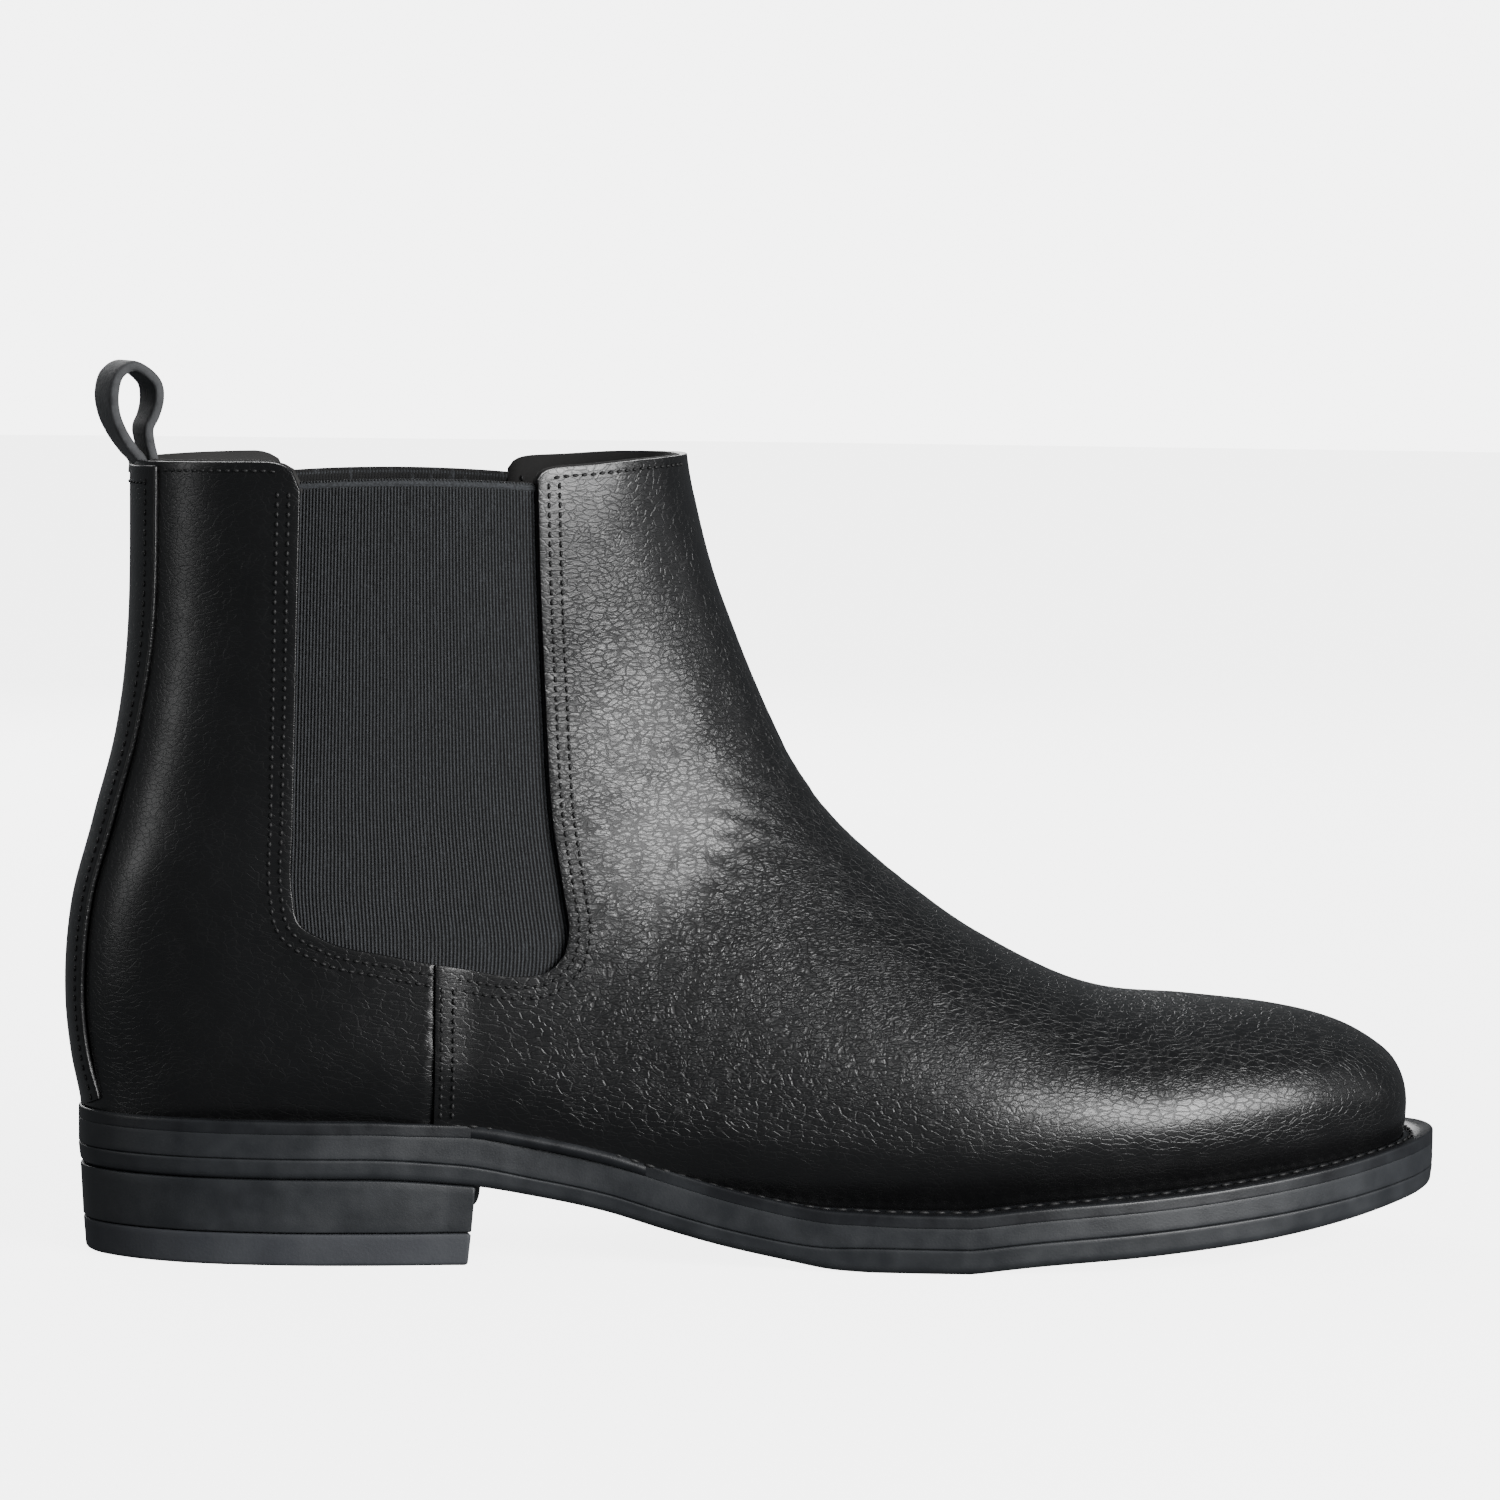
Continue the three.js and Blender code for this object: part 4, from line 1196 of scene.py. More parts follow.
    def relief(self, points: Points, strength: float = 1.0) -> Points:
        """Works out the wrinkles of the leather, and how it settles on the last.

        Args:
            points: Places on the skin.
            strength: Share of the wrinkles to give.

        Returns:
            The height of each place above the skin: fine waves over the front, deeper ones across the instep
            fold, a fuller ridge on the shin and a lower toe.
        """
        flat = points.reshape(-1, 3)
        x, z = flat[:, 0], flat[:, 2]
        instep = np.exp(-(((x - 140) / 34) ** 2)) * np.exp(-(((z - 92) / 24) ** 2))
        front = smoothstep((x - 92) / 26) * smoothstep((z - 34) / 26)
        out = np.zeros(len(flat))
        for k, p in enumerate(flat):
            v = Vector((p[0], p[1], p[2]))
            slow = noise.noise(v / 17.0)
            fold = noise.noise(Vector((v.x * 0.04 + 0.6 * slow, v.y * 0.03, v.z * 0.27 + v.x * 0.09)))
            fine = noise.noise(Vector((v.x * 0.11 + slow, v.y * 0.09, v.z * 0.55 + v.x * 0.18)))
            out[k] = 0.05 * slow + instep[k] * (0.36 * (0.3 - abs(fold)) + 0.2 * (0.3 - abs(fine)))
            out[k] += front[k] * 0.04 * (0.25 - abs(fine))
        y = flat[:, 1]
        settle = 0.6 * np.exp(-((y / 16) ** 2)) * smoothstep((z - 70) / 15) * smoothstep((x - 128) / 8)
        settle -= 0.95 * smoothstep((x - 200) / 25) * smoothstep((z - 42) / 10)
        return (strength * out + settle).reshape(points.shape[:-1])

    def crease_level(self, points: Points) -> Points:
        """Works out how broken the grain of the vamp is.

        Args:
            points: Places on the vamp.

        Returns:
            A level for each, from 0 at the smooth back to 1 at the instep fold.
        """
        x, z = points[:, 0], points[:, 2]
        front = smoothstep((x - 88) / 30)
        low = smoothstep((z - 24) / 22)
        instep = np.exp(-(((x - 138) / 40) ** 2)) * np.exp(-(((z - 92) / 34) ** 2))
        high = 1 - 0.6 * smoothstep((z - 125) / 40)
        return np.clip(0.1 + front * low * high * 0.55 + 0.55 * instep, 0, 1)

    def even_level(self, points: Points) -> Points:
        """Level of leather that hardly bends, the same all over."""
        return np.full(len(points), self.unbroken)

    def surface(self, domain: Points, side: Side, offset: float | Points,
                wrinkled: float = 1.0) -> tuple[Points, Points]:
        """Places a patch on the last.

        Args:
            domain: The t and the angle of each point.
            side: Side of the boot.
            offset: Distance outside the last's skin, or inside it when negative.
            wrinkled: Share of the leather's wrinkles that it follows.

        Returns:
            The points and their outward directions.
        """
        t, angle = domain[..., 0], domain[..., 1] * side.value
        normals = self.last.normal(t, angle)
        base = self.last.point(t, angle)
        height = np.broadcast_to(np.asarray(offset, float), t.shape).copy()
        if wrinkled:
            height += self.relief(base, wrinkled)
        return base + normals * height[..., None], normals

    def add_level(self, obj: bpy.types.Object, name: str, gives: Callable[[Points], Points]) -> None:
        """Stores a level on a finished mesh, which its material reads.

        Args:
            obj: The object.
            name: Name of the level.
            gives: Works out the level from the vertices, in pattern millimetres.
        """
        place = np.array([v.co for v in obj.data.vertices], float).reshape(-1, 3)
        level = obj.data.attributes.new(name, "FLOAT", "POINT")
        level.data.foreach_set("value", gives((place - ORIGIN) / MM).astype(np.float32))

    def edge_lift(self, base: Points) -> Points:
        """Vamp raised where it laps over the quarter."""
        near = 1 - smoothstep((base[..., 0] - self.pattern.seam) / self.lap_run)
        return self.lap * near * (base[..., 2] < self.pattern.seam_zone)

    def tuck_depth(self, base: Points) -> Points:
        """Quarter skived and lowered where it runs under the vamp."""
        under = smoothstep((base[..., 0] - self.pattern.seam + 0.2) / 0.9)
        return -self.skive * under * (base[..., 2] < self.pattern.seam_zone)

    def closing(self, base: Points, height: Curve) -> Points:
        """Brings the lining up to the leather over the last few millimetres below the topline.

        Args:
            base: Places on the skin.
            height: The topline, as a function of x.

        Returns:
            The offset of the lining's face from the leather's, negative inwards.
        """
        near = smoothstep((base[..., 2] - (height(base[..., 0]) - 3.2)) / 3.0)
        return -self.lining_depth + (self.lining_depth - self.closed_depth) * near

    # -- pieces ---------------------------------------------------------------

    def front_sheet(self, lining: bool) -> bmesh.types.BMesh:
        """Shapes the panel over the crown with its two wings.

        Args:
            lining: Whether to shape its lining instead of the leather.

        Returns:
            The sheet, without its thickness.
        """
        domain, rail = self.front_domain()
        base = self.last.point(domain[..., 0], domain[..., 1])
        offset = self.closing(base, self.pattern.front_topline()) if lining else 0.0
        wrinkled = 0.35 if lining else 1.0
        points, normals = self.surface(domain, Side.OUTER, offset, wrinkled)
        points[0] = points[0].mean(axis=0)
        parts = [sheet_mesh(points, normals)]
        wing = self.wing_domain(rail)
        for side in Side:
            base = self.last.point(wing[..., 0], wing[..., 1] * side.value)
            lifted = self.edge_lift(base) * np.linspace(0, 1, wing.shape[1])[None]
            points, normals = self.surface(wing, side, -self.lining_depth if lining else lifted, wrinkled)
            parts.append(sheet_mesh(points, normals))
        return joined(parts)

    def build_front(self) -> None:
        """Vamp and front of the shaft, in one piece of leather, and their lining."""
        vamp = piece("vamp_leather", self.front_sheet(False), self.finishes.leather,
                     ["vamp", "shaft_front"])
        thicken(vamp, self.leather, self.lapped_round)
        baked(vamp)
        self.add_level(vamp, "crease", self.crease_level)
        self.follow_front(vamp)
        lining = piece("vamp_lining_leather", self.front_sheet(True), self.finishes.lining,
                       ["vamp_lining", "shaft_front_lining"])
        thicken(lining, self.lining, self.lining_round)
        self.follow_front(baked(lining))

    def follow_front(self, obj: bpy.types.Object) -> None:
        """Bakes the placement of a piece of the front into its mesh."""
        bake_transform(obj)

    def build_quarters(self) -> None:
        """The two quarters and their lining."""
        domain = self.quarter_domain()
        for side in Side:
            name = side.name.lower()
            base = self.last.point(domain[..., 0], domain[..., 1] * side.value)
            points, normals = self.surface(domain, side, self.tuck_depth(base), self.calm)
            quarter = piece(f"quarter_leather_{name}", sheet_mesh(points, normals), self.finishes.leather,
                            [f"quarter_{name}"])
            thicken(quarter, self.leather, self.cut_round)
            baked(quarter)
            self.add_level(quarter, "crease", self.even_level)
            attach(quarter, "boot")
            clear_of_loop = smoothstep((np.abs(base[..., 1]) - 6.5) / 3) + (base[..., 0] > 40)
            closing = self.closing(base, self.pattern.rear_topline())
            offset = -self.lining_depth + (closing + self.lining_depth) * np.clip(clear_of_loop, 0, 1)
            points, normals = self.surface(domain, side, offset, 0.3)
            stands_for = ["quarter_lining"] if side is Side.OUTER else []
            lining = piece(f"quarter_lining_leather_{name}", sheet_mesh(points, normals),
                           self.finishes.lining, stands_for)
            thicken(lining, self.lining, self.lining_round)
            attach(baked(lining), "boot")

    def backstay_rise(self, height: Points) -> Points:
        """How far the backstay stands out from the last: less at the thin top and where it meets the welt."""
        return (1.35 - 0.45 * smoothstep((height - 95) / 30)) * (0.45 + 0.55 * smoothstep((height - 30) / 14))

    def backstay_domain(self) -> tuple[Points, Points, Points]:
        """Lays out the strip over the back seam.

        Returns:
            Its t and its angles, as grids, and the share of the half width at each column.
        """
        last = self.last
        half = smooth_curve([(24, 12), (45, 10.6), (66, 11.4), (95, 12.6), (118, 14.5), (140, 16),
                             (168, 16.4)])
        foot = float(self.sole.welt_top(np.array(1.0))) + 0.15
        t = last.back_t(np.linspace(foot, TOPLINE - 0.5, 110))
        height = last.point(t, math.pi)[:, 2]
        share = np.linspace(-1, 1, 25)
        width = half(height)[:, None] * np.abs(share)[None]
        t_grid = np.repeat(t[:, None], len(share), axis=1)
        angle = last.solve(lambda a: np.abs(last.point(t_grid, a)[..., 1]) - width,
                           np.full(width.shape, math.pi / 2), np.full(width.shape, math.pi))
        return t_grid, np.where(share[None] < 0, -angle, angle), share

    def build_backstay(self) -> None:
        """Strip of leather over the back seam."""
        t, angle, _ = self.backstay_domain()
        points, normals = self.surface(np.stack([t, angle], axis=-1), Side.OUTER,
                                       self.backstay_rise(self.last.point(t, angle)[..., 2]), self.calm)
        strip = piece("backstay_leather", sheet_mesh(points, normals), self.finishes.leather,
                      ["backstay"])
        thicken(strip, self.strap, self.cut_round)
        baked(strip)
        self.add_level(strip, "crease", self.even_level)
        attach(strip, "boot")

    def build_elastic(self) -> None:
        """Elastic panels with real ribs, and the folded hem along their top."""
        per_rib, rows = 4, 44
        columns = self.ribs * per_rib + 1
        domain = self.elastic_domain(rows, columns)
        wave = 0.5 - 0.5 * np.cos(2 * math.pi * np.arange(columns) / per_rib)
        for side in Side:
            height = -self.elastic_depth + self.rib_height * wave[None]
            points, normals = self.surface(domain, side, height, 0.4)
            bm = sheet_mesh(points, normals)
            panel = piece(f"elastic_panel_{side.name.lower()}", bm, self.finishes.elastic,
                          [f"gore_{side.name.lower()}"])
            # rib level for the material: 0 in the valleys, where it paints shade, 1 on the rib tops
            placed = to_row(points)
            spot = {tuple(np.round(placed[i, j], 7)): wave[j] for i in range(rows) for j in range(columns)}
            level = panel.data.attributes.new("rib", "FLOAT", "POINT")
            level.data.foreach_set("value", [spot.get(tuple(np.round(np.array(v.co, float), 7)), 0.6)
                                             for v in panel.data.vertices])
            thicken(panel, self.elastic_thick)
            self.follow_elastic(baked(panel))
            self.build_hem(domain, side)

    def build_hem(self, domain: Points, side: Side) -> None:
        """Hem folded over the top of an elastic panel.

        Args:
            domain: The panel's t and angle.
            side: Side of the boot.
        """
        edge = domain[:3, 12:-12:4]
        turn = np.linspace(0, 2 * math.pi, 11)
        inward, upward = 0.66 * np.cos(turn) - self.hem, 0.75 * np.sin(turn)
        top = self.last.point(edge[0, :, 0], edge[0, :, 1] * side.value)
        low = self.last.point(edge[2, :, 0], edge[2, :, 1] * side.value)
        out = self.last.normal(edge[0, :, 0], edge[0, :, 1] * side.value)
        up = (top - low) / np.linalg.norm(top - low, axis=1)[:, None]
        rings = top[:, None] + out[:, None] * inward[None, :, None]
        rings = rings + up[:, None] * (upward[None, :, None] - 1.0)
        hem = piece(f"elastic_hem_{side.name.lower()}", tube_mesh(rings), self.finishes.elastic)
        # rib level 1 all over: the hem gets no painted shade
        level = hem.data.attributes.new("rib", "FLOAT", "POINT")
        level.data.foreach_set("value", [1.0] * len(hem.data.vertices))
        self.follow_elastic(hem)

    def follow_elastic(self, obj: bpy.types.Object) -> None:
        """Bakes the placement of a piece of the elastic into its mesh."""
        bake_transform(obj)

    # -- stitching ------------------------------------------------------------

    def sew(self, bm: bmesh.types.BMesh, path: Points, side: Side, inside: bool = False,
            lift: float = 0.0) -> None:
        """Sews along a side-view path.

        Args:
            bm: Mesh that receives the stitches.
            path: The x and z of each point.
            side: Side of the boot.
            inside: Whether the row shows on the lining instead of on the leather.
            lift: How far the leather stands out from the last there.
        """
        domain = self.last.locate(resampled(path, max(24, len(path))))
        depth = -(self.lining_depth + self.lining + 0.06) if inside else 0.05 + lift
        points, normals = self.surface(domain, side, depth, 0.3 if inside else 0.8)
        stitches(bm, points, -normals if inside else normals, self.pitch, 0.72 * self.pitch, self.thread)

    def build_stitching(self) -> None:
        """Rows of thread around the elastic, down the side seam, along the topline and on the backstay."""
        pattern = self.pattern
        path = pattern.gore_path()
        nose = nearest(path, *pattern.nose)
        rear_top, front_top = pattern.rear_topline(), pattern.front_topline()
        for side in Side:
            name = side.name.lower()
            fixed, moving = bmesh.new(), bmesh.new()
            for distance in (2.3, 4.7):
                row = side_offset(path, distance)
                rear, front = row[:nose], row[nose:]
                self.sew(fixed, rear[rear[:, 1] < 170.6], side)
                self.sew(moving, front[front[:, 1] < 171.6], side)
            for distance in (1.4, 4.0):
                x = pattern.seam + distance
                top = pattern.seam_top - 4.9 - 0.13 * distance
                self.sew(fixed, np.array([[x, 32.5], [x, top]]), side, lift=0.68)
            x = np.linspace(17, 41, 50)
            self.sew(fixed, np.stack([x, rear_top(x) - self.topline_row], axis=1), side)
            x = np.linspace(100.5, 131, 40)
            self.sew(moving, np.stack([x, front_top(x) - self.topline_row], axis=1), side)
            row = side_offset(path, 3.0)
            rear, front = row[:nose], row[nose:]
            self.sew(moving, front[front[:, 1] < 171], side, inside=True)
            self.sew(fixed, rear[rear[:, 1] < 170], side, inside=True)
            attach(piece(f"quarter_stitching_{name}", fixed, self.finishes.thread), "boot")
            self.follow_front(piece(f"front_stitching_{name}", moving, self.finishes.thread))
        self.build_back_stitching()

    def build_back_stitching(self) -> None:
        """Rows along the edges and across the top of the backstay."""
        t, angle, share = self.backstay_domain()
        bm = bmesh.new()

        def row(row_t: Points, row_angle: Points) -> None:
            """Sews one row, given as t and angle, on the strip's face."""
            depth = self.backstay_rise(self.last.point(row_t, row_angle)[..., 2]) + 0.07
            points, normals = self.surface(np.stack([row_t, row_angle], axis=1), Side.OUTER, depth, self.calm)
            stitches(bm, points, normals, 2.2, 1.6, 0.5)

        for edge in (-1, 1):
            column = np.array([np.interp(edge * 0.8, share, across) for across in np.abs(angle)]) * edge
            row(t[:-2, 0], column[:-2])
        columns = np.linspace(-0.74, 0.74, 20)
        swept = np.interp(columns, share, np.abs(angle[-4])) * np.sign(columns)
        row(np.full(20, t[-4, 0]), swept)
        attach(piece("backstay_stitching", bm, self.finishes.thread), "boot")


# ---------------------------------------------------------------- the sole


@dataclass
class Sole:
    """Welt, midsole, outsole and heel, with their tread, stitching and inside layers."""

    last: Last
    finishes: Finishes
    recess: float = 0.9                # depth of the tread field
    border: float = 7.0                # width of the rim round it
    shelf: float = 0.55                # rounding of the welt's top edge
    groove: float = 0.68               # place of the welt's stitches, from its edge to the upper
    stitch_start: float = 78.0         # where they begin, from the back
    heel_run: float = 1.6              # how far the heel runs on in front of the breast line
    heel_bow: float = 1.2              # hollow of its front face
    heel_core: float = 14.0            # from the breast line back to the middle of its flat faces
    heel_steps: int = 90               # steps along each side of the heel
    breast_steps: int = 25             # steps across its front
    stud_height: float = 0.9
    stud_root: float = 2.7             # radius of a stud where it leaves the sole
    stud_tip: float = 2.3
    filler: float = 1.8                # height of the cork above the midsole
    board: float = 2.2                 # thickness of the insole board
    pad: float = 1.6                   # height of the heel pad
    liner: float = 2.0                 # thickness of the sock liner
    outer: Points = field(init=False)
    inner: Points = field(init=False)

    def __post_init__(self) -> None:
        """Draws the outline."""
        self.outer, self.inner = self.profile.edges()

    @property
    def profile(self) -> SoleProfile:
        """Heights and outline of the sole."""
        return self.last.sole

    def add(self, name: str, bm: bmesh.types.BMesh, finish: bpy.types.Material, *replaces: str) -> None:
        """Adds a piece of the rubber sole, which rides on the boot's body."""
        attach(piece(name, bm, finish, replaces), "boot")

    def ring(self, outer: Points, inner: Points) -> tuple[Points, Points, Points]:
        """Closes two edges into a ring.

        Args:
            outer: Outer edge from the back forward.
            inner: Inner edge with the same stations.

        Returns:
            The ring, its outward normals, and for each station its point on the middle line.
        """
        ring = np.vstack([outer, inner[::-1][1:-1], outer[:1]])
        middle = (outer + inner) / 2
        spine = np.vstack([middle, middle[::-1][1:-1], middle[:1]])
        return ring, outward(ring), spine

    def plate(self, rows: Sequence[tuple[float, float, Curve]], outer: Points | None = None,
              inner: Points | None = None) -> bmesh.types.BMesh:
        """Stacks rings into a closed plate.

        Args:
            rows: For each ring, how far it has drawn in to the middle line (0 to 1), its inset from the edge
                in millimetres, and its height as a function of x.
            outer: Outer edge, or None for the sole's own.
            inner: Inner edge, or None for the sole's own.

        Returns:
            The plate.
        """
        ring, normal, spine = self.ring(self.outer if outer is None else outer,
                                        self.inner if inner is None else inner)
        stack = []
        for share, inset, height in rows:
            flat = ring - normal * inset
            flat = flat + (spine - flat) * share
            stack.append(np.column_stack([flat, height(flat[:, 0])]))
        return sheet_mesh(np.array(stack))

    def wall(self, bottom: Curve, top: Curve, low_round: float, high_round: float, low_inset: float = 0.0,
             high_inset: float = 0.0) -> list[tuple[float, float, Curve]]:
        """Rings up a side wall with rounded edges.

        Args:
            bottom: Height of the lower face.
            top: Height of the upper face.
            low_round: Radius of the lower edge.
            high_round: Radius of the upper edge.
            low_inset: Inset of the wall at its foot.
            high_inset: Inset of the wall at its top.

        Returns:
            Rows for plate(), from the lower face to the upper face.
        """
        turn = [(1 - math.sin(a), 1 - math.cos(a)) for a in (k / 4 * math.pi / 2 for k in range(5))]
        foot, head = raised(bottom, low_round), raised(top, -high_round)
        rows = [(0.0, low_inset + low_round * a, raised(bottom, low_round * b)) for a, b in turn]
        rows += [(0.0, low_inset + (high_inset - low_inset) * k / 6, between(foot, head, k / 6))
                 for k in range(1, 6)]
        rows += [(0.0, high_inset + high_round * b, raised(top, -high_round * a)) for a, b in turn]
        return rows

    def build_outsole(self) -> None:
        """Outsole with its recessed tread field."""
        p = self.profile
        tread_field = raised(p.underside, self.recess)
        rows = [(share, self.border, tread_field) for share in (1.0, 0.6, 0.3, 0.0)]
        rows.append((0.0, self.border - 0.7, p.underside))
        rows += self.wall(p.underside, p.outsole_top, 1.7, 0.4, 0.35, 0.05)
        rows += [(share, 2.0, p.outsole_top) for share in (0.3, 0.7, 1.0)]
        self.add("outsole_rubber", self.plate(rows), self.finishes.rubber, "outsole")

    def build_midsole(self) -> None:
        """Midsole, level with the welt above it."""
        p = self.profile
        bottom, top = raised(p.outsole_top, 0.05), raised(p.midsole_top, 0.1)
        rows = [(share, 2.0, bottom) for share in (1.0, 0.6, 0.25)]
        rows += self.wall(bottom, top, 0.45, 0.1, 0.05, 0.0)
        rows += [(share, 2.0, top) for share in (0.25, 0.6, 1.0)]
        self.add("midsole_rubber", self.plate(rows), self.finishes.rubber, "midsole")

    def feather(self, height: Curve, offset: float) -> Points:
        """Draws the line where the upper's skin meets a height.

        Args:
            height: The height, as a function of x.
            offset: Distance of the line outside the skin.

        Returns:
            The closed line, matched station by station to the sole's ring.
        """
        last = self.last

        def above(t: Points) -> Points:
            """Height of the section's low end above the curve."""
            low_end = last.point(t, math.pi)
            return low_end[..., 2] - height(low_end[..., 0])

        toe_t = float(last.solve(above, np.array(0.0), np.array(0.2)))
        heel_t = last.back_foot(height, last.heel_turn)
        t = heel_t + (toe_t - heel_t) * (1 - np.cos(np.linspace(0, math.pi, 900))) / 2
        sides = []
        for side in Side:
            line = last.skin(t, last.feather_angle(t, height, side), np.full(len(t), offset))
            line[:, 2] = height(line[:, 0])
            line[0, 1] = line[-1, 1] = 0
            sides.append(resampled(line, len(self.outer)))
        return np.vstack([sides[0], sides[1][::-1][1:-1], sides[0][:1]])

    def build_welt(self) -> None:
        """Welt around the upper, with its stitch groove and the stitches in it."""
        p = self.profile
        ring, normal, _ = self.ring(self.outer, self.inner)
        inner = self.feather(raised(p.welt_top, -0.15), 0.12)
        base = raised(p.midsole_top, 0.12)
        stack = []
        for _, inset, height in self.wall(base, p.welt_top, 0.1, self.shelf):
            flat = ring - normal * inset
            stack.append(np.column_stack([flat, height(flat[:, 0])]))
        edge = ring - normal * self.shelf
        for share, sink in ((0.3, 0.0), (0.46, 0.05), (0.56, 0.5), (self.groove, 0.75), (0.8, 0.5),
                            (0.9, 0.1), (1.0, 0.1)):
            flat = edge + (inner[:, :2] - edge) * share
            stack.append(np.column_stack([flat, p.welt_top(flat[:, 0]) - sink]))
        for share in (1.0, 0.5):
            flat = edge + (inner[:, :2] - edge) * share
            stack.append(np.column_stack([flat, base(flat[:, 0])]))
        stack.append(stack[0])
        self.add("welt_rubber", sheet_mesh(np.array(stack)), self.finishes.welt, "welt")
        seat = edge + (inner[:, :2] - edge) * self.groove
        line = np.column_stack([seat, p.welt_top(seat[:, 0]) - 0.55])
        bm = bmesh.new()
        for edge_line in (line[:p.stations + 1], line[p.stations:]):
            run = edge_line[edge_line[:, 0] > self.stitch_start]
            stitches(bm, run, np.tile([0.0, 0.0, 1.0], (len(run), 1)), 3.6, 2.9, 0.85, 0.32)
        self.add("welt_stitching", bm, self.finishes.thread)

    def heel_edges(self) -> tuple[Points, Points]:
        """Cuts the sole's outline off at the front face of the heel.

        Returns:
            The heel's outer and inner edge, from the back forward.
        """
        sides = []
        breast = self.profile.breast + self.heel_run
        for edge in (self.outer, self.inner):
            cut = edge[edge[:, 0] < breast - 1]
            y = np.interp(breast, edge[:, 0], edge[:, 1])
            sides.append(resampled(np.vstack([cut, [breast, y]]), self.heel_steps))
        return sides[0], sides[1]

    def heel_block(self, rows: Sequence[tuple[float, float, Curve]]) -> bmesh.types.BMesh:
        """Stacks rings with the heel's outline and a slightly hollow front into a closed block.

        Args:
            rows: For each ring its share, inset and height, as in plate().

        Returns:
            The block.
        """
        outer, inner = self.heel_edges()
        front = resampled(np.array([outer[-1], inner[-1]]), self.breast_steps)
        front[:, 0] -= self.heel_bow * (1 - np.linspace(-1, 1, self.breast_steps) ** 2)
        ring = np.vstack([outer, front[1:-1], inner[::-1][:-1], outer[:1]])
        middle = (outer + inner) / 2
        core = self.profile.breast - self.heel_core
        hub = np.tile([core, 0.0], (self.breast_steps - 2, 1))
        spine = np.vstack([middle, hub, middle[::-1][:-1], middle[:1]])
        spine[:, 0] = np.clip(spine[:, 0], 24, core)
        spine[:, 1] = 0
        normal = outward(ring)
        stack = []
        for share, inset, height in rows:
            flat = ring - normal * inset
            near = flat[:, 0] > outer[-1, 0] - 8
            held = np.clip(flat[:, 1], outer[-1, 1] + inset, inner[-1, 1] - inset)
            flat[:, 1] = np.where(near, held, flat[:, 1])
            flat[:, 0] = np.minimum(flat[:, 0], np.interp(flat[:, 1], front[:, 1], front[:, 0]) - inset)
            flat = flat + (spine - flat) * share
            stack.append(np.column_stack([flat, height(flat[:, 0])]))
        return sheet_mesh(np.array(stack))

    def build_heel(self) -> None:
        """Wearing cap with its hollow, heel base, and the fillet in front of them."""
        p = self.profile
        hollow = level(self.recess)
        cap = [(1.0, 5.0, hollow), (0.5, 5.0, hollow), (0.0, 5.6, hollow), (0.0, 5.0, level(0.0))]
        cap += self.wall(level(0.0), level(p.heel_cap), 0.9, 0.45, 1.75, 1.25)
        cap += [(0.5, 3.0, level(p.heel_cap)), (1.0, 3.0, level(p.heel_cap))]
        self.add("heel_cap_rubber", self.heel_block(cap), self.finishes.tread, "heel_cap")
        bottom = level(p.heel_cap + 0.28)
        top = raised(p.underside, -0.05)
        base = [(1.0, 3.0, bottom), (0.5, 3.0, bottom)]
        base += self.wall(bottom, top, 0.4, 0.35, 1.15, 0.5)
        base += [(0.5, 3.0, top), (1.0, 3.0, top)]
        self.add("heel_base_rubber", self.heel_block(base), self.finishes.rubber, "heel_base")
        self.build_fillet()

    def build_fillet(self) -> None:
        """Moulded fillet in the corner between the heel's front and the waist of the sole."""
        p = self.profile
        half, out, down = 25.0, 4.2, 7.5
        y = np.linspace(-half, half, 31)
        turn = np.linspace(0, math.pi / 2, 9)
        fade = np.sqrt(np.clip(1 - (y / (half + 0.2)) ** 6, 0, 1))[:, None]
        back = p.breast - 0.4
        top, root_top = (float(p.underside(np.array(x))) + 0.3 for x in (p.breast + 1.0, p.breast))
        shape = np.stack([back + out * fade * np.sin(turn)[None] ** 0.6,
                          np.repeat(y[:, None], len(turn), axis=1),
                          top - down * fade * np.cos(turn)[None] ** 0.6], axis=-1)
        root = np.stack([np.full(len(y), back), y, np.full(len(y), root_top)], axis=-1)
        stack = np.concatenate([root[:, None], shape, root[:, None]], axis=1)
        self.add("heel_breast_fillet", sheet_mesh(stack), self.finishes.rubber)

    def build_tread(self) -> None:
        """Round studs on the forepart and on the heel cap."""
        p = self.profile
        bm = bmesh.new()
        spots = []
        fields = ((level(0.0), 12, 76, 9.0, 8.5), (p.underside, 158, 290, 10.0, 10.5))
        for under, low, high, step, inset in fields:
            for k, x in enumerate(np.arange(low, high, step * 0.87)):
                outer = np.interp(x, self.outer[:, 0], self.outer[:, 1]) + inset
                inner = np.interp(x, self.inner[:, 0], self.inner[:, 1]) - inset
                row = np.arange(-60 + (k % 2) * step / 2, 60, step)
                spots += [(x, y, float(under(np.array(x)))) for y in row if outer < y < inner]
        for x, y, z in spots:
            middle = Vector(to_row(np.array([x, y, z + 0.02 + 0.46])))
            bmesh.ops.create_cone(bm, cap_ends=True, segments=10, radius1=self.stud_tip * MM,
                                  radius2=self.stud_root * MM, depth=self.stud_height * MM,
                                  matrix=Matrix.Translation(middle))
        self.add("tread_studs", bm, self.finishes.tread)

    def build_insole(self) -> None:
        """Sock liner on the insole, and the heel pad beneath it."""
        rest = raised(self.profile.midsole_top, GAP + self.filler + GAP + self.board + GAP)
        rise = smooth_curve([(76, 1), (92, 0)])

        def low(x: Points) -> Points:
            """Underside of the liner, raised over the pad."""
            return rest(x) + rise(x) * (self.pad + GAP)

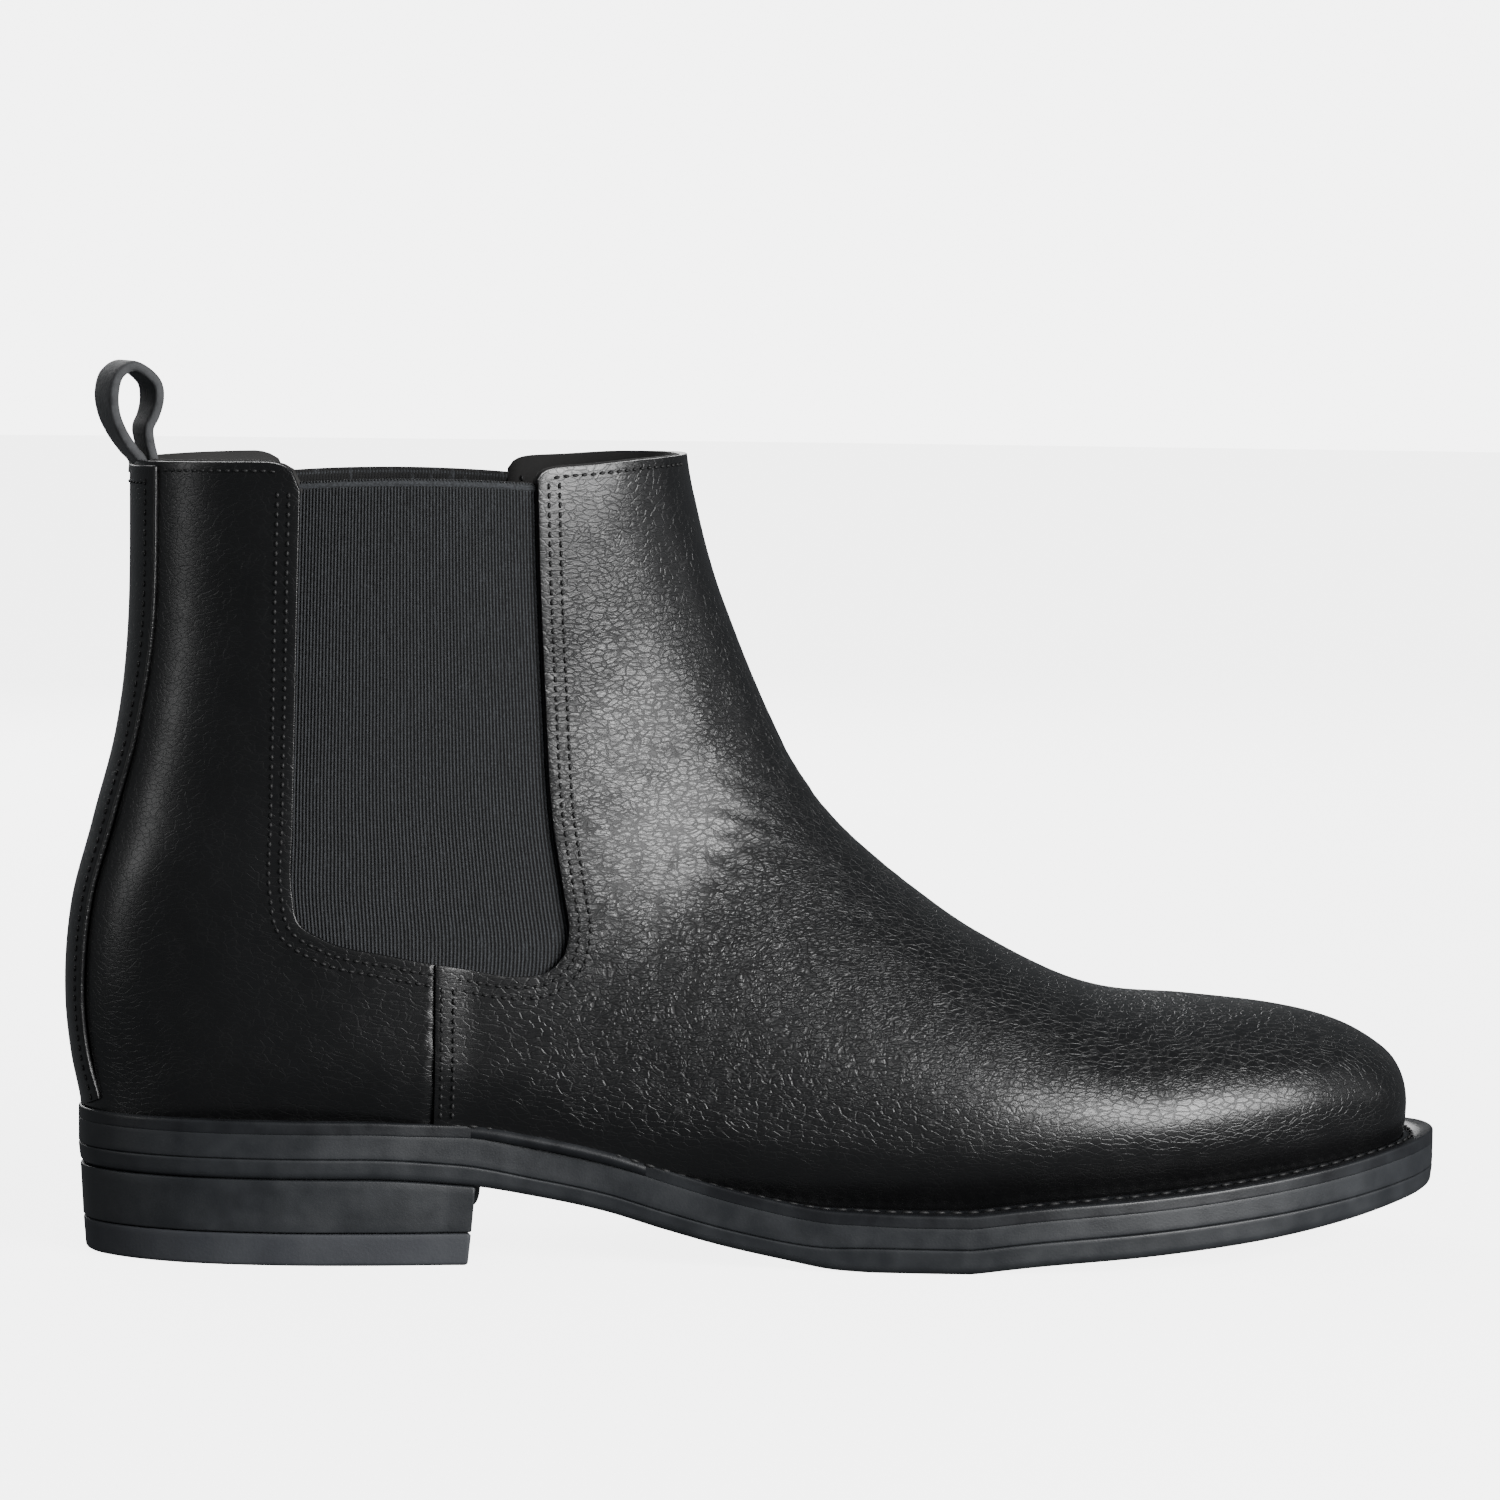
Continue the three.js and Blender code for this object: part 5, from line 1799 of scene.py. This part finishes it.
        high = raised(low, self.liner)
        ring = self.feather(low, -4.75)
        tip = len(self.outer)
        outer, inner = ring[:tip], np.vstack([ring[:1], ring[tip:-1][::-1], ring[tip - 1]])
        rows = [(1.0, 1.0, low), (0.5, 1.0, low)] + self.wall(low, high, 0.3, 0.6)
        rows += [(share, 1.5, raised(high, -sink)) for share, sink in ((0.3, 0.15), (0.6, 0.35), (1.0, 0.45))]
        liner = self.plate(rows, outer[:, :2], inner[:, :2])
        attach(piece("sock_liner_leather", liner, self.finishes.lining, ["sock_liner"]),
                "boot")
        self.build_pad(rest)

    def build_pad(self, rest: Curve) -> None:
        """Oval foam pad under the heel.

        Args:
            rest: Height on which it lies, as a function of x.
        """
        turn = np.linspace(0, 2 * math.pi, 49)
        centre, half_length, half_width = 43, 29, 22
        stack = []
        for share, rise in ((0.0, 0.0), (0.7, 0.0), (0.97, 0.03), (1.0, 0.35), (0.95, 0.7), (0.75, 0.9),
                            (0.4, 1.0), (0.0, 1.0)):
            x, y = centre + half_length * share * np.cos(turn), half_width * share * np.sin(turn)
            stack.append(np.column_stack([x, y, rest(x) + self.pad * rise]))
        pad = piece("heel_pad_foam", sheet_mesh(np.array(stack)), self.finishes.foam, ["heel_pad"])
        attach(pad, "boot")


# ---------------------------------------------------------------- pull loop


@dataclass(frozen=True)
class PullLoop:
    """Strap sewn in at the back of the topline and stood up in a drop-shaped loop."""

    finishes: Finishes
    last: Last
    width: float = 12.3
    thick: float = 2.35
    height: float = 22.4
    twist: float = math.radians(16)    # turn of the top of the loop about the vertical
    ripple: float = 0.025              # unevenness of its edges

    def centre_line(self) -> Points:
        """Draws the strap's middle line.

        Returns:
            The x and z of each point, about the point where the strap leaves the topline.
        """
        leg = self.thick / 2 + 0.05
        top = self.height - self.thick / 2
        rear = [(-leg, -2.4), (-leg, 0.3), (-3.4, 3.0), (-5.8, 6.4), (-7.9, 11.0), (-8.4, 15.6), (-7.2, 19.4)]
        front = [(-0.9, top - 1.4), (1.5, 17.2), (1.9, 13.8), (1.1, 10.4), (-0.1, 7.6), (0.3, 4.4),
                 (leg, 0.8), (leg, -2.4)]
        return spline(rear + [(-4.2, top)] + front, per_segment=7)

    def build(self) -> None:
        """Sweeps the strap, with a rounded section, along its line."""
        line = self.centre_line()
        leather = 1.6
        foot_x = float(self.last.point(1.0, math.pi)[0]) + leather + GAP + 0.1
        direction = np.gradient(line, axis=0)
        direction /= np.linalg.norm(direction, axis=1)[:, None]
        out = np.stack([-direction[:, 1], direction[:, 0]], axis=1)
        turn = np.linspace(0, 2 * math.pi, 25)
        across = self.width / 2 * np.sign(np.cos(turn)) * np.abs(np.cos(turn)) ** 0.22
        depth = self.thick / 2 * np.sign(np.sin(turn)) * np.abs(np.sin(turn)) ** 0.5
        rings = []
        for k, (x, z) in enumerate(line):
            section_x = x + out[k, 0] * depth
            section_z = z + out[k, 1] * depth
            angle = self.twist * min(1.0, 0.55 + 0.03 * max(z, 0))
            y = across + self.ripple * math.sin(3.1 * z)
            rings.append(np.stack([foot_x + section_x * math.cos(angle) - y * math.sin(angle),
                                   section_x * math.sin(angle) + y * math.cos(angle),
                                   TOPLINE - 0.2 + section_z], axis=1))
        loop = piece("pull_loop_strap", tube_mesh(np.array(rings)), self.finishes.webbing,
                     ["pull_loop"])
        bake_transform(loop)


# ---------------------------------------------------------------- frame nodes and studio


def dress_nodes(finishes: Finishes) -> None:
    """Gives every CAD node its real finish, so that those that stay look right.

    Args:
        finishes: The finishes.
    """
    lined = {name: finishes.lining
             for name in ("vamp_lining", "quarter_lining", "shaft_front_lining", "sock_liner")}
    stiff = {name: finishes.board for name in ("toe_puff", "heel_counter", "insole_board")}
    skins = {name: finishes.leather for name in ("vamp", "quarter", "backstay", "shaft_front")}
    kinds = {**lined, **stiff, **skins, "cork_filler": finishes.cork, "shank": finishes.steel,
             "heel_nail": finishes.wire, "heel_pad": finishes.foam, "gore": finishes.elastic,
             "loop_tail": finishes.webbing, "pull_loop": finishes.webbing}
    for name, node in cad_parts.items():
        finish = next((kinds[start] for start in kinds if name.startswith(start)), finishes.rubber)
        node.data.materials.clear()
        node.data.materials.append(finish)


@dataclass(frozen=True)
class Softbox:
    """A rectangular soft light that faces the boot, in metres and watts."""

    name: str
    place: tuple[float, float, float]
    size: tuple[float, float]
    power: float

    def hang(self, aim: Vector) -> None:
        """Hangs the light.

        Args:
            aim: The point that it faces.
        """
        data = bpy.data.lights.new(self.name, "AREA")
        data.shape = "RECTANGLE"
        data.size, data.size_y = self.size
        data.energy = self.power
        lamp = bpy.data.objects.new(self.name, data)
        lamp.location = self.place
        lamp.rotation_euler = (Vector(self.place) - aim).to_track_quat("Z", "Y").to_euler()
        bpy.context.scene.collection.objects.link(lamp)


@dataclass(frozen=True)
class Studio:
    """Pale floor and dome, soft lights and the camera, in metres."""

    target: tuple[float, float, float] = (-0.0021, 0.0004, 0.11025)
    azimuth: float = -7.0
    elevation: float = 4.5
    roll: float = 0.67
    distance: float = 1.6
    lens: float = 172.8
    radius: float = 5.0                # of the floor and the dome
    floor_glow: float = 4.6
    wall_glow: float = 5.6
    fill: float = 0.12                 # strength of the light from all round
    aim: tuple[float, float, float] = (0.0, 0.0, 0.08)
    softboxes: tuple[Softbox, ...] = (
        Softbox("overhead_softbox", (-0.35, 0.5, 1.2), (0.9, 0.7), 3),
        Softbox("key_softbox", (0.93, -0.99, 0.5), (0.64, 0.66), 24),
        Softbox("front_softbox", (0.6, -1.28, 0.44), (0.45, 0.5), 15),
        Softbox("toe_softbox", (1.3, -0.1, 0.35), (0.3, 0.8), 0.5),
        Softbox("rear_softbox", (-1.35, -0.28, 0.5), (0.25, 0.9), 2.3),
        Softbox("back_softbox", (-0.3, 1.45, 0.7), (1.0, 0.7), 12))

    def camera(self) -> None:
        """Places the camera on its sphere round the target."""
        a, e = math.radians(self.azimuth), math.radians(self.elevation)
        back = Vector((math.sin(a) * math.cos(e), -math.cos(a) * math.cos(e), math.sin(e)))
        data = bpy.data.cameras.new("camera")
        data.lens = self.lens
        data.sensor_width = 36
        data.clip_end = 20
        cam = bpy.data.objects.new("camera", data)
        cam.matrix_world = (Matrix.Translation(Vector(self.target) + back * self.distance)
                            @ back.to_track_quat("Z", "Y").to_matrix().to_4x4()
                            @ Matrix.Rotation(math.radians(self.roll), 4, "Z"))
        bpy.context.scene.collection.objects.link(cam)
        bpy.context.scene.camera = cam

    def backdrop(self, name: str, bm: bmesh.types.BMesh, glow: float) -> bpy.types.Object:
        """Adds a pale surface that only the camera sees, so that the leather keeps its dark reflections.

        Args:
            name: Name of the surface.
            bm: Its mesh.
            glow: Light of its own that it sends to the camera.

        Returns:
            The surface's object.
        """
        mesh = bpy.data.meshes.new(name)
        bm.to_mesh(mesh)
        bm.free()
        obj = bpy.data.objects.new(name, mesh)
        bpy.context.scene.collection.objects.link(obj)
        material, tree = new_material(name)
        finish_with(tree, {"Base Color": linear("#f2f2f2"), "Roughness": 0.95,
                           "Emission Color": linear("#ffffff"), "Emission Strength": glow})
        mesh.materials.append(material)
        obj.visible_diffuse = False
        obj.visible_glossy = False
        return obj

    def build(self) -> None:
        """Sets up the floor, the backdrop, the lights and the camera."""
        floor = bmesh.new()
        bmesh.ops.create_circle(floor, cap_ends=True, segments=64, radius=self.radius)
        self.backdrop("studio_floor", floor, self.floor_glow)
        dome = bmesh.new()
        bmesh.ops.create_uvsphere(dome, u_segments=48, v_segments=24, radius=self.radius)
        bmesh.ops.reverse_faces(dome, faces=dome.faces)
        self.backdrop("studio_backdrop", dome, self.wall_glow).visible_shadow = False
        world = bpy.data.worlds.new("studio")
        world.use_nodes = True
        background = world.node_tree.nodes["Background"]
        background.inputs["Color"].default_value = (0.9, 0.95, 1.0, 1)
        background.inputs["Strength"].default_value = self.fill
        bpy.context.scene.world = world
        for softbox in self.softboxes:
            softbox.hang(Vector(self.aim))
        self.camera()


def main() -> None:
    """Builds the boot around its frame and the studio around the boot."""
    logging.basicConfig(level=logging.INFO, format="%(message)s")
    Studio().build()
    finishes = Finishes.make()
    dress_nodes(finishes)
    last = Last(SoleProfile())
    upper = Upper(last, finishes)
    upper.build_front()
    upper.build_quarters()
    upper.build_backstay()
    upper.build_elastic()
    upper.build_stitching()
    sole = Sole(last, finishes)
    sole.build_outsole()
    sole.build_midsole()
    sole.build_welt()
    sole.build_heel()
    sole.build_tread()
    sole.build_insole()
    PullLoop(finishes, last).build()


if __name__ == "__main__":
    main()
